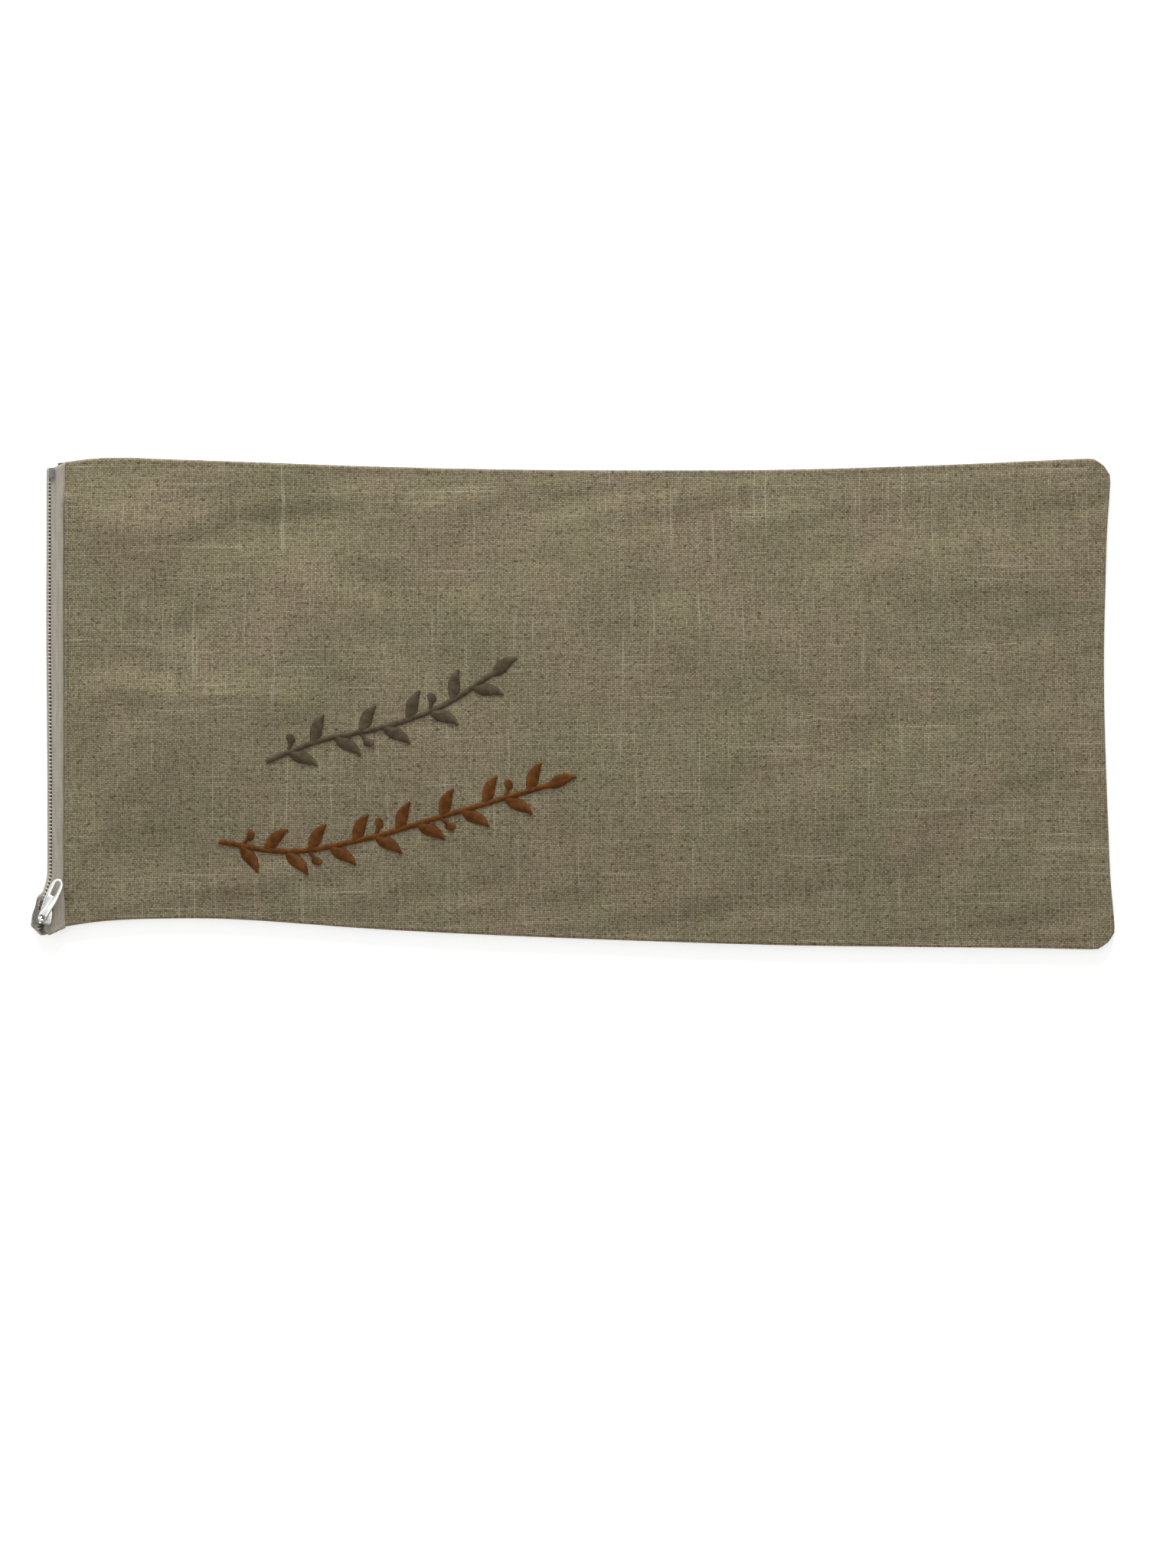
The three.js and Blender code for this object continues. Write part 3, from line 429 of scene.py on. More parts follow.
def buckled(grid, heights, held):
    """The short waves, in metres, that a slightly long cloth makes between its held edges."""
    rows, columns = heights.shape
    i = np.unique(np.append(np.arange(0, rows, COARSE), rows - 1))
    j = np.unique(np.append(np.arange(0, columns, COARSE), columns - 1))
    coarse = np.concatenate([grid, heights[..., None]], axis=2)[np.ix_(i, j)]
    mesh = bpy.data.meshes.new("buckling")
    mesh.from_pydata(coarse.reshape(-1, 3).tolist(), [], grid_faces(len(i), len(j))[1].tolist())
    sheet = in_scene("buckling", mesh)
    pins = sheet.vertex_groups.new(name="held")
    for k, weight in enumerate(held[np.ix_(i, j)].ravel()):
        pins.add([k], float(weight), "REPLACE")
    modifier = sheet.modifiers.new("cloth", "CLOTH")
    cloth = modifier.settings
    cloth.quality = 6
    cloth.mass = 0.02
    cloth.tension_stiffness = cloth.compression_stiffness = cloth.shear_stiffness = 12
    cloth.bending_stiffness = 0.2
    cloth.vertex_group_mass = "held"
    cloth.shrink_min = -SLACK
    cloth.effector_weights.gravity = 0
    modifier.collision_settings.use_collision = False
    modifier.point_cache.frame_start, modifier.point_cache.frame_end = 1, BUCKLE_FRAMES
    for number in range(1, BUCKLE_FRAMES + 1):
        scene.frame_set(number)
    evaluated = sheet.evaluated_get(bpy.context.evaluated_depsgraph_get())
    moved = np.array([v.co.z for v in evaluated.data.vertices]).reshape(len(i), len(j))
    moved = moved - coarse[..., 2]
    scene.frame_set(1)
    bpy.data.objects.remove(sheet)
    print("buckling moved the cloth", span(moved))
    short = moved - blurred(moved, SWELL_ROUNDS)
    along = np.stack([np.interp(np.arange(rows), i, short[:, k]) for k in range(len(j))], axis=1)
    fine = np.stack([np.interp(np.arange(columns), j, row) for row in along])
    return np.clip(blurred(fine, FINE_ROUNDS), -BUCKLE_CAP * MM, BUCKLE_CAP * MM)


held = 1 - np.clip((np.minimum(front_sewn, front_mouth) - 3) / 8, 0, 1)
buckles = buckled(front_grid, front_heights, held) * border
front_heights += buckles
print("kept", span(buckles))


# %% One closed skin of linen
def ring_of(shape):
    """The grid's border, once round, as indices."""
    rows, columns = shape
    lower = [(i, 0) for i in range(rows - 1)]
    far = [(rows - 1, j) for j in range(columns - 1)]
    upper = [(i, columns - 1) for i in range(rows - 1, 0, -1)]
    mouth = [(0, j) for j in range(columns - 1, 0, -1)]
    return lower + far + upper + mouth


def new_piece(name, points, faces, material):
    mesh = bpy.data.meshes.new(name)
    mesh.from_pydata([tuple(p) for p in points], [], faces)
    mesh.validate()
    mesh.update()
    mesh.materials.append(material)
    mesh.shade_smooth()
    return in_scene(name, mesh)


ROLL = EDGE_INSETS[:5]  # the lines of the grid that roll over, and the roll's radius
ROLL_RADIUS = 1.15
RIM_SHARE, RIM_INSET, LIP_INSET = 0.45, 0.06, 0.45  # where the rim and the lip stand


def cloth_skin(name, grid, heights, under, lip, material):
    """Outer grid, a lip that rolls under, and the inner face, as one closed mesh.

    under gives the inner face's height, lip the height of the rolled edge's lowest point,
    as one number or one for each point of the grid."""
    rows, columns = heights.shape
    lip = np.broadcast_to(lip, heights.shape)
    sign = 1 if lip.mean() < heights.mean() else -1
    drops = ROLL_RADIUS - np.sqrt(np.clip(ROLL_RADIUS**2 - (ROLL_RADIUS - ROLL) ** 2, 0, None))
    outer = np.concatenate([grid, heights[..., None]], axis=2)
    for k, drop in enumerate(drops):
        level = sign * drop * MM
        for edge in (np.s_[k, k:columns - k], np.s_[rows - 1 - k, k:columns - k],
                     np.s_[k:rows - k, k], np.s_[k:rows - k, columns - 1 - k]):
            outer[edge + (2,)] = heights[edge] - level
    inner = np.concatenate([grid, under[..., None]], axis=2)
    border = ring_of((rows, columns))
    rim = []
    for i, j in border:
        a, b = min(max(i, 2), rows - 3), min(max(j, 2), columns - 3)
        inwards = grid[a, b] - grid[i, j]
        inwards /= max(np.linalg.norm(inwards), 1e-9)
        low = outer[i, j, 2] * RIM_SHARE + lip[i, j] * (1 - RIM_SHARE)
        rim.append((*(grid[i, j] + inwards * RIM_INSET * MM), low))
        inner[i, j, :2] = grid[i, j] + inwards * LIP_INSET * MM
        inner[i, j, 2] = lip[i, j]
    points = np.concatenate([outer.reshape(-1, 3), inner.reshape(-1, 3), np.array(rim)])
    index, quads = grid_faces(rows, columns)
    shift = rows * columns
    under_quads = quads[:, ::-1] + shift
    faces = quads.tolist() + under_quads.tolist()
    count = len(border)
    for k in range(count):
        a, b = index[border[k]], index[border[(k + 1) % count]]
        c, d = 2 * shift + (k + 1) % count, 2 * shift + k
        faces.append((b, a, d, c))
        faces.append((c, d, a + shift, b + shift))
    if sign < 0:
        faces = [tuple(reversed(face)) for face in faces]
    return new_piece(name, points, faces, material)


# %% [markdown]
# ## Linen
#
# The cloth is a plain weave of flax, about 12 yarns to the centimetre. Flax yarn is
# uneven: pale thick stretches show as thin streaks along both directions, and bits of
# dark stalk show as flecks. A picture of the cloth would repeat, and it would fix the
# scale. Here each yarn has a number, and noise read at that number gives the yarn its
# own tone along its length.

# %% Linen material
YARN = 0.83  # millimetres from one yarn to the next
WANDER = 2.2  # how far a yarn strays, in millimetres


def plain_weave(tree, x, y, pitch):
    """Yarn numbers and height of a plain weave at x and y, in millimetres."""
    numbers, arches, softs = [], [], []
    for place in (x, y):
        yarns = calc(tree, "DIVIDE", place, pitch)
        numbers.append(calc(tree, "FLOOR", yarns))
        half_turn = calc(tree, "MULTIPLY", calc(tree, "FRACT", yarns), math.pi)
        arches.append(calc(tree, "SINE", half_turn))
        softs.append(calc(tree, "MULTIPLY_ADD", arches[-1], 0.45, 0.55))
    over = calc(tree, "FLOORED_MODULO", calc(tree, "ADD", *numbers), 2.0)
    warp_up, weft_up = (calc(tree, "MULTIPLY", arches[k], softs[1 - k]) for k in (0, 1))
    return *numbers, blend(tree, over, warp_up, weft_up), over


def blend(tree, share, first, second):
    return add(tree, "ShaderNodeMix", {0: share, 2: first, 3: second})


def noise_at(tree, x, y, scale_x, scale_y, z=0.0, detail=2.0):
    """Noise at x and y, each taken times its own scale."""
    x, y = calc(tree, "MULTIPLY", x, scale_x), calc(tree, "MULTIPLY", y, scale_y)
    place = add(tree, "ShaderNodeCombineXYZ", {0: x, 1: y, 2: z})
    return add(tree, "ShaderNodeTexNoise", {"Vector": place, "Scale": 1.0, "Detail": detail})


def ramp(tree, value, low, high):
    """0 below low, 1 above high, and a smooth rise between."""
    inputs = {0: value, 1: low, 2: high}
    return add(tree, "ShaderNodeMapRange", inputs, interpolation_type="SMOOTHSTEP")


def spread(tree, value, by, onto):
    """How far value is from a half, times by, added onto another number."""
    return calc(tree, "MULTIPLY_ADD", calc(tree, "SUBTRACT", value, 0.5), by, onto)


def cover(tree, shader, colour, height, strength, depth):
    """Paint the surface and let the height bump it. depth is in millimetres."""
    wire(tree, colour, shader.inputs["Base Color"])
    inputs = {"Height": height, "Strength": strength, "Distance": depth * MM}
    wire(tree, add(tree, "ShaderNodeBump", inputs), shader.inputs["Normal"])


def blend_colours(tree, share, first, second):
    made = add(tree, "ShaderNodeMix", data_type="RGBA")
    for slot, value in ((0, share), (6, first), (7, second)):
        wire(tree, value, made.inputs[slot])
    return made.outputs[2]


def millimetres(tree):
    """The place on the piece, in millimetres, with the yarns' slight wander."""
    place = add(tree, "ShaderNodeTexCoord").outputs["Object"]
    scaled = add(tree, "ShaderNodeVectorMath", {0: place, "Scale": 1 / MM}, operation="SCALE")
    x, y, z = add(tree, "ShaderNodeSeparateXYZ", {0: scaled}).outputs
    wander_x = noise_at(tree, x, y, 0.02, 0.05, 3.0, 3.0)
    wander_y = noise_at(tree, x, y, 0.05, 0.02, 7.0, 3.0)
    wandered_x = calc(tree, "MULTIPLY_ADD", wander_x, WANDER, x)
    wandered_y = calc(tree, "MULTIPLY_ADD", wander_y, WANDER, y)
    return wandered_x, wandered_y, x, y, z


linen, tree, shader = finish_of("linen", Roughness=0.88, Sheen_Weight=0.12, Specular_IOR_Level=0.18)
wx, wy, x, y, _ = millimetres(tree)
warp, weft, height, over = plain_weave(tree, wx, wy, YARN)

warp_tone = noise_at(tree, warp, wy, 3.71, 0.03, 1.0, 3.0)
weft_tone = noise_at(tree, wx, weft, 0.03, 3.37, 5.0, 3.0)
warp_slub = ramp(tree, noise_at(tree, warp, wy, 7.13, 0.017, 9.0, 1.0), 0.64, 0.76)
weft_slub = ramp(tree, noise_at(tree, wx, weft, 0.015, 6.61, 2.0, 1.0), 0.63, 0.75)
yarn_tone = blend(tree, over, warp_tone, weft_tone)
slub = blend(tree, over, warp_slub, weft_slub)
seen_through = calc(tree, "MAXIMUM", warp_slub, weft_slub)
slub = calc(tree, "MULTIPLY_ADD", seen_through, 0.45, calc(tree, "MULTIPLY", slub, 0.55))
crossing = add(tree, "ShaderNodeCombineXYZ", {0: warp, 1: weft})
grain = add(tree, "ShaderNodeTexWhiteNoise", {"Vector": crossing}).outputs["Value"]
grit = noise_at(tree, x, y, 0.8, 0.8, 8.0, 3.0)

mottle = ramp(tree, noise_at(tree, x, y, 0.021, 0.021, 0.0, 4.0), 0.36, 0.64)
olive = ramp(tree, noise_at(tree, x, y, 0.10, 0.10, 4.0, 3.0), 0.52, 0.72)
fleck = ramp(tree, noise_at(tree, x, y, 0.5, 0.75, 6.0, 3.0), 0.58, 0.68)

shade = spread(tree, yarn_tone, 1.5, 0.5)
shade = spread(tree, grain, 0.55, shade)
shade = spread(tree, grit, 1.0, shade)
low = blend_colours(tree, mottle, rgb(113, 102, 80), rgb(108, 101, 77))
high = blend_colours(tree, mottle, rgb(167, 153, 126), rgb(161, 153, 122))
colour = blend_colours(tree, shade, low, high)
# painted shade: the low places between the yarns are darkened towards a deep brown
painted_gap_shade = calc(tree, "SUBTRACT", 1.0, ramp(tree, height, 0.0, 0.5))
for share, most, towards in (
        (olive, 0.08, rgb(122, 110, 68)), (slub, 0.5, rgb(190, 182, 156)),
        (fleck, 0.72, rgb(70, 56, 34)), (painted_gap_shade, 0.85, rgb(64, 55, 38))):
    colour = blend_colours(tree, calc(tree, "MULTIPLY", share, most), colour, towards)

bulk = calc(tree, "MULTIPLY_ADD", slub, 0.4, calc(tree, "MULTIPLY_ADD", grain, 0.25, height))
cover(tree, shader, colour, bulk, 0.7, 0.2)
print("linen: yarns every", YARN, "mm")

# %% The front and the back
CLOTH = 0.93  # millimetres of one layer
LIP_UNDER_FRONT = 2.35 * MM
LIP_AT_MOUTH = 4.3 * MM
LIP_OVER_BACK = 2.0 * MM
HEM = 8.0  # width of the seams and of the mouth's hem


def inner_face(heights, sewn, to_mouth, turned):
    """The inner side of a panel: one layer in, and two under a seam or the hem."""
    layers = 1 + (np.minimum(sewn, to_mouth) < HEM)
    return heights + turned * layers * CLOTH * MM


front_under = inner_face(front_heights, front_sewn, front_mouth, -1)
front_lip = LIP_UNDER_FRONT + (LIP_AT_MOUTH - LIP_UNDER_FRONT) * np.clip(front_sewn / HEM, 0, 1)
front_linen = cloth_skin("front_linen", front_grid, front_heights, front_under, front_lip, linen)
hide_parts("front_panel")
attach(front_linen, "bag")

back_sewn, back_mouth = edge_distance(back_grid, back_outline)
back_heights = np.zeros(back_grid.shape[:2])
back_under = inner_face(back_heights, back_sewn, back_mouth, 1)
back_linen = cloth_skin("back_linen", back_grid, back_heights, back_under, LIP_OVER_BACK, linen)
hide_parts("back_panel")
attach(back_linen, "bag")
print("linen faces:", len(front_linen.data.polygons), len(back_linen.data.polygons))

# %% [markdown]
# ## The zip
#
# A coil zip has two woven tapes and a nylon spiral sewn to each. Here it is sewn in with
# the tapes outwards, so the spirals show only as a ticked groove between the tapes' two
# edges. A section across the zip changes along its length: it is closed above the
# slider, spread inside it, and bends outwards below. One function gives that section,
# and the tapes and both spirals are laid along it.

# %% The zip's sections
ORIGIN = Vector((-221.531, 0.044, 0.0))  # the mouth's fold, on the floor, in millimetres
ZIP_TOP, ZIP_FOOT = 102.5, -101.0
CHAIN_Z = 3.9
SLIDER_Y, SLIDER_LENGTH = -90.5, 11.3
END_RUN, END_SWING = 31.0, 4.9  # the zip's lower end swings outwards, then back
END_UP = (0.00, 0.06, 0.12, 0.19, 0.34, 0.50, 0.66, 0.82, 1.00)
END_OUT = (0.44, 0.83, 1.00, 0.97, 0.84, 0.70, 0.32, 0.04, 0.00)
FRONT_LEAN, BACK_LEAN, SLIDER_LEAN = 5.0, 35.0, 12.0
HALF_WIDTH = 107.5
MIDDLE_OUT, BOW = 4.4, 0.5  # the middle line's place, out from the fold
PARTED = 0.95  # how far a row gives way below the slider's post


def smooth(low, high, value):
    t = min(1.0, max(0.0, (value - low) / (high - low)))
    return t * t * (3 - 2 * t)


def follow(keys, values, place):
    """A smooth curve through a table of values."""
    last = len(keys) - 1

    def slope(i):
        before, after = max(0, i - 1), min(last, i + 1)
        return (values[after] - values[before]) / (keys[after] - keys[before])

    i = sum(place > key for key in keys[1:last])
    gap = keys[i + 1] - keys[i]
    t = (place - keys[i]) / gap
    if t < 0:
        return values[i] + slope(i) * t * gap
    h = t * t * (3 - 2 * t)
    bend = t * (1 - t) * ((1 - t) * slope(i) - t * slope(i + 1)) * gap
    return values[i] * (1 - h) + values[i + 1] * h + bend


def middle_x(y):
    """The zip's middle line: a slight bow, and a swing outwards at its lower end."""
    up = (y - ZIP_FOOT) / END_RUN
    swing = END_SWING * follow(END_UP, END_OUT, up) if up < 1 else 0.0
    return -MIDDLE_OUT - BOW * smooth(-0.4, 0.4, y / HALF_WIDTH) - swing


def parted(y):
    """How far each row gives way to the post of the slider."""
    return PARTED * smooth(-2.5, 2.0, SLIDER_Y - y)


def round_slider(y):
    """1 inside the slider, 0 away from it."""
    return 1 - smooth(0.56 * SLIDER_LENGTH, 0.76 * SLIDER_LENGTH, abs(y - SLIDER_Y))


def end_cut(y):
    """Both ends of the zip are cut off at a slope, towards the linen."""
    return 0.45 * (smooth(SLIDER_Y - 2, ZIP_FOOT, y) + smooth(ZIP_TOP - 9, ZIP_TOP, y))


def on_row(y, side, out, up):
    """A point on one row: out from the middle, up out of its face. Metres."""
    turned = smooth(1, 0.5, (y - ZIP_FOOT) / END_RUN)
    lean = FRONT_LEAN if side > 0 else BACK_LEAN + 18 * smooth(10, 95, y)
    lean = math.radians(lean + (SLIDER_LEAN - lean) * turned)
    across = side * (out + parted(y))
    e = across * math.cos(lean) - up * math.sin(lean)
    rise = across * math.sin(lean) + up * math.cos(lean)
    return (ORIGIN + Vector((middle_x(y) + e, y + max(0.0, e) * end_cut(y), CHAIN_Z + rise))) * MM


print("zip from", ZIP_FOOT, "to", ZIP_TOP)

# %% Tape material
TAPE_YARN, TAPE_RIB = 0.42, 1.3  # millimetres from one to the next

tape_cloth, tree, shader = finish_of(
    "zip_tape", Roughness=0.8, Sheen_Weight=0.1, Specular_IOR_Level=0.25
)
across = add(tree, "ShaderNodeAttribute", attribute_name="across").outputs["Fac"]
along = add(tree, "ShaderNodeAttribute", attribute_name="along").outputs["Fac"]
_, _, height, _ = plain_weave(tree, across, along, TAPE_YARN)
rib = calc(tree, "SINE", calc(tree, "MULTIPLY", across, 2 * math.pi / TAPE_RIB))
tone = noise_at(tree, across, along, 0.8, 0.08, 0.0, 3.0)
colour = blend_colours(tree, ramp(tree, tone, 0.3, 0.7), rgb(172, 164, 150), rgb(192, 184, 170))
# painted shade: the tape is darker where its weave lies low, between the yarns
colour = blend_colours(tree, ramp(tree, height, 0.55, 0.0), colour, rgb(112, 104, 90))
cover(tree, shader, colour, calc(tree, "MULTIPLY_ADD", rib, 0.5, height), 0.6, 0.12)


# %% Both tapes
TAPE = 0.7  # the tape's thickness
SECTION_STEPS = 26
KNEE = 2.1  # where the tape turns down, out from the middle of the zip
KNEE_AT_SLIDER = 2.4 + 0.5 + 0.3 + TAPE
FOOT_FRONT, FOOT_BACK = 4.0, 2.3  # height of each tape under the linen
TUCK_TOP, TUCK_FOOT = HALF_WIDTH * 0.978 - 18.4, HALF_WIDTH * 0.905 - 18.4
CURL = 5.5  # size of the back tape's curl beside the rows
CURL_CLOSED = ((-0.095, 0.165), (-0.085, 0.365), (0.09, 0.565))
CURL_AT_SLIDER = ((-0.035, 0.18), (-0.035, 0.56), (0.19, 0.76))
BACK_OUT = -3.4  # the back tape's outermost line
FINE_TO, FINE_STEP, STATIONS_ABOVE = -60, 0.8, 110


def tape_section(y, side):
    """The tape's outer face at one station, from its edge at the groove to under the linen."""
    slider = round_slider(y)
    knee = KNEE + (KNEE_AT_SLIDER - KNEE) * slider
    tuck = TUCK_TOP if y > 0 else TUCK_FOOT
    reach = smooth(tuck, tuck - 4, abs(y))
    if side > 0:
        edge = -0.75 + 0.9 * slider
        points = [on_row(y, 1, edge, 1.5), on_row(y, 1, (edge + knee) / 2, 1.65)]
        points.append(on_row(y, 1, knee, 1.6))
        rises = ((-1.6, 1.55), (-0.85, 1.35), (-0.05, 1.0), (0.4, 0.2), (0.5 + 7.5 * reach, 0.0))
        ends = [(out, FOOT_FRONT + rise) for out, rise in rises]
    else:
        start = on_row(y, -1, knee, 1.6)
        pairs = zip(CURL_CLOSED, CURL_AT_SLIDER)
        turn = [Vector(a).lerp(Vector(b), slider) * CURL for a, b in pairs]
        points = [on_row(y, -1, 1.0 - 0.2 * slider, 1.6), start]
        points += [start + Vector((out, 0, -drop)) * MM for out, drop in turn]
        ends = [(BACK_OUT - TAPE, FOOT_BACK - 1.5 * TAPE), (BACK_OUT, FOOT_BACK)]
        ends.append((BACK_OUT + 0.175 + 8 * reach, FOOT_BACK))
    for out, z in ends:
        shifted = y + max(0.0, out - middle_x(y)) * end_cut(y)
        points.append((ORIGIN + Vector((out, shifted, z))) * MM)
    return np.array(points)


def tape_piece(name, side):
    stations = np.concatenate([
        np.arange(ZIP_FOOT, FINE_TO, FINE_STEP), np.linspace(FINE_TO, ZIP_TOP, STATIONS_ABOVE)])
    shares = np.linspace(0, 1, SECTION_STEPS)
    outer, inner = [], []
    for y in stations:
        line = smooth_line(tape_section(y, side), shares)
        tangent = np.gradient(line[:, [0, 2]], axis=0)
        tangent /= np.linalg.norm(tangent, axis=1)[:, None]
        normal = np.stack([tangent[:, 1], np.zeros(len(line)), -tangent[:, 0]], axis=1)
        outer.append(line)
        inner.append(line + side * normal * TAPE * 0.9 * MM)
    rings = np.concatenate([np.array(outer), np.array(inner)[:, ::-1]], axis=1)
    count = rings.shape[1]
    faces = []
    for i in range(len(stations) - 1):
        for k in range(count):
            a, b = i * count + k, i * count + (k + 1) % count
            faces.append((a, b, b + count, a + count))
    for k in range(SECTION_STEPS - 1):
        cap = (k, k + 1, count - 2 - k, count - 1 - k)
        faces.append(tuple(reversed(cap)))
        faces.append(tuple(index + (len(stations) - 1) * count for index in cap))
    if side < 0:
        faces = [tuple(reversed(face)) for face in faces]
    piece = new_piece(name, rings.reshape(-1, 3), faces, tape_cloth)
    steps = np.linalg.norm(np.diff(np.array(outer), axis=1), axis=2)
    width = np.concatenate([np.zeros((len(stations), 1)), np.cumsum(steps, axis=1)], axis=1) / MM
    across = np.concatenate([width, width[:, ::-1]], axis=1).ravel()
    along = np.repeat(stations, count)
    for key, values in (("across", across), ("along", along)):
        attribute = piece.data.attributes.new(key, "FLOAT", "POINT")
        attribute.data.foreach_set("value", values.astype(np.float32))
    return piece


for name, side in (("tape_front", 1), ("tape_back", -1)):
    piece, node = tape_piece(name, side), "zipper_" + name
    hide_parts(node)
    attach(piece, "bag")
    print(name, len(piece.data.polygons), "faces")

# %% [markdown]
# ## The coils
#
# Each half of the closure is a nylon wire wound into flat loops, one every 1.58 mm. The
# loops of one half lie between those of the other. Geometry Nodes suit this: one loop is
# made once in the tree, and it is put on a point for every turn, with the turn's own
# angle.

# %% Coil material
nylon, tree, shader = finish_of("zip_nylon", Roughness=0.42, Specular_IOR_Level=0.45)
_, _, x, y, _ = millimetres(tree)
tone = noise_at(tree, x, y, 0.7, 0.7)
colour = blend_colours(tree, tone, rgb(186, 178, 164), rgb(210, 203, 189))
wire(tree, colour, shader.inputs["Base Color"])


# %% A tree that puts one loop on every point
def named_inputs(tree, sizes):
    """Add the tree's geometry sockets and an input for each size. Gives their identifiers."""
    for way in ("INPUT", "OUTPUT"):
        tree.interface.new_socket("Geometry", in_out=way, socket_type="NodeSocketGeometry")
    found = {}
    for name, value in sizes.items():
        socket = tree.interface.new_socket(name, in_out="INPUT", socket_type="NodeSocketFloat")
        socket.default_value = value
        found[name] = socket.identifier
    return found


def finish_tree(tree, geometry, material):
    """Make a tree's geometry real, paint it, shade it smooth and hand it out."""
    real = add(tree, "GeometryNodeRealizeInstances", {0: geometry})
    painted = add(tree, "GeometryNodeSetMaterial", {"Geometry": real, "Material": material})
    shaded = add(tree, "GeometryNodeSetShadeSmooth", {0: painted})
    add(tree, "NodeGroupOutput", {0: shaded})


def round_section(tree, radius):
    return add(tree, "GeometryNodeCurvePrimitiveCircle", {"Resolution": 5, "Radius": radius})


def coil_tree(material):
    tree = bpy.data.node_groups.new("coil_loops", "GeometryNodeTree")
    sizes = {"Loop Width": 2.3 * MM, "Loop Height": 1.0 * MM, "Wire": 0.36 * MM}
    keys = named_inputs(tree, sizes)
    given = add(tree, "NodeGroupInput").outputs
    ring = add(tree, "GeometryNodeCurvePrimitiveCircle", {"Resolution": 12, "Radius": 0.5})
    size = {0: given["Loop Width"], 1: given["Loop Height"], 2: 1.0}
    size = add(tree, "ShaderNodeCombineXYZ", size)
    flat = add(tree, "GeometryNodeTransform", {"Geometry": ring, "Scale": size})
    section = round_section(tree, given["Wire"])
    loop = add(tree, "GeometryNodeCurveToMesh", {"Curve": flat, "Profile Curve": section})
    points = add(tree, "GeometryNodeMeshToPoints", {"Mesh": given["Geometry"]})
    turn = add(tree, "GeometryNodeInputNamedAttribute", {"Name": "turn"}, data_type="FLOAT_VECTOR")
    rotation = add(tree, "FunctionNodeEulerToRotation", {0: turn})
    loops = add(tree, "GeometryNodeInstanceOnPoints", {
        "Points": points, "Instance": loop, "Rotation": rotation})
    finish_tree(tree, loops, material)
    return tree, keys


def grown(name, points, tree, sizes, edges=(), turns=()):
    """Run a tree on a bare mesh, and keep the result as a plain mesh."""
    mesh = bpy.data.meshes.new(name + "_guide")
    mesh.from_pydata([tuple(p) for p in points], list(edges), [])
    if turns:
        turn = mesh.attributes.new("turn", "FLOAT_VECTOR", "POINT")
        turn.data.foreach_set("vector", np.asarray(turns, np.float32).ravel())
    guide = in_scene(name + "_guide", mesh)
    modifier = guide.modifiers.new(name, "NODES")
    modifier.node_group = tree
    for identifier, value in sizes.items():
        modifier[identifier] = value
    evaluated = guide.evaluated_get(bpy.context.evaluated_depsgraph_get())
    result = bpy.data.meshes.new_from_object(evaluated)
    result.name = name
    bpy.data.objects.remove(guide)
    return in_scene(name, result)


PITCH = 1.58  # millimetres from loop to loop
COIL_FOOT, COIL_TOP = ZIP_FOOT + 2, ZIP_TOP - 5.6
coil_loops, coil_keys = coil_tree(nylon)


def coil_piece(name, side, shift, out, depth, width):
    """One row of loops. shift is a share of the pitch, the rest are millimetres."""
    places, turns = [], []
    y = COIL_FOOT + shift * PITCH
    while y < COIL_TOP:
        centre, outer = on_row(y, side, out, depth), on_row(y, side, out + 1, depth)
        step = outer - centre
        lean = math.atan2(step.z, math.hypot(step.x, step.y))
        slant = math.atan(middle_x(y + 0.5) - middle_x(y - 0.5))
        places.append(centre)
        turns.append((math.pi / 2, -lean if side > 0 else lean, -slant))
        y += PITCH
    sizes = {coil_keys["Loop Width"]: width * MM}
    return grown(name, places, coil_loops, sizes, turns=turns)


for name, side, shift, out, depth, width in (
        ("coil_front", 1, 0.0, 0.85, 0.15, 2.3), ("coil_back", -1, 0.5, 1.1, 1.05, 1.7)):
    piece = coil_piece(name, side, shift, out, depth, width)
    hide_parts("zipper_" + name)
    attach(piece, "bag")
    print(name, len(piece.data.polygons), "faces")

# %% [markdown]
# ## Metal
#
# The slider, its pull and the stop are cast or stamped, then plated, so no edge on them
# is sharp. The CAD bodies have the right size. A copy of each gets its edges rounded by
# a narrow bevel, and it stands in for the node. Plain mirror metal looks like a
# rendering, so the plating has a faint haze and fine scratches. The nickel is painted
# darker low down, so the slider below the pull carries painted shade: the colour
# depends on the height.

# %% Metal finishes
# painted shade: below these heights the nickel is painted darker
PAINTED_SHADE_FADE = (6.6, 7.9)  # heights, in millimetres, between the slider and the pull

nickel, tree, shader = finish_of("nickel", Metallic=1.0, Specular_IOR_Level=0.5)
_, _, x, y, z = millimetres(tree)
haze = noise_at(tree, x, y, 1.3, 1.3, 0.0, 4.0)
scratch = noise_at(tree, x, y, 6.0, 0.5, 2.0, 3.0)
bright = blend_colours(tree, haze, rgb(244, 243, 240), rgb(252, 252, 250))
# painted shade: the slider, which lies under the pull, gets this darker colour by height
shaded_nickel = blend_colours(tree, haze, rgb(120, 118, 112), rgb(176, 174, 168))
above_painted_shade = ramp(tree, z, *PAINTED_SHADE_FADE)
rough = add(tree, "ShaderNodeMapRange", {0: haze, 1: 0.3, 2: 0.7, 3: 0.16, 4: 0.3})
wire(tree, rough, shader.inputs["Roughness"])
cover(tree, shader, blend_colours(tree, above_painted_shade, shaded_nickel, bright), scratch, 0.15, 0.03)

gunmetal, tree, shader = finish_of("gunmetal", Metallic=0.85, Roughness=0.45)
_, _, x, y, _ = millimetres(tree)
wear = noise_at(tree, x, y, 1.8, 1.8, 0.0, 3.0)
colour = blend_colours(tree, wear, rgb(112, 114, 116), rgb(156, 157, 157))
wire(tree, colour, shader.inputs["Base Color"])


# %% Rounded copies of the metal nodes
FLAT, SHARP, SHADED_SHARP = (math.radians(angle) for angle in (1.5, 28, 40))


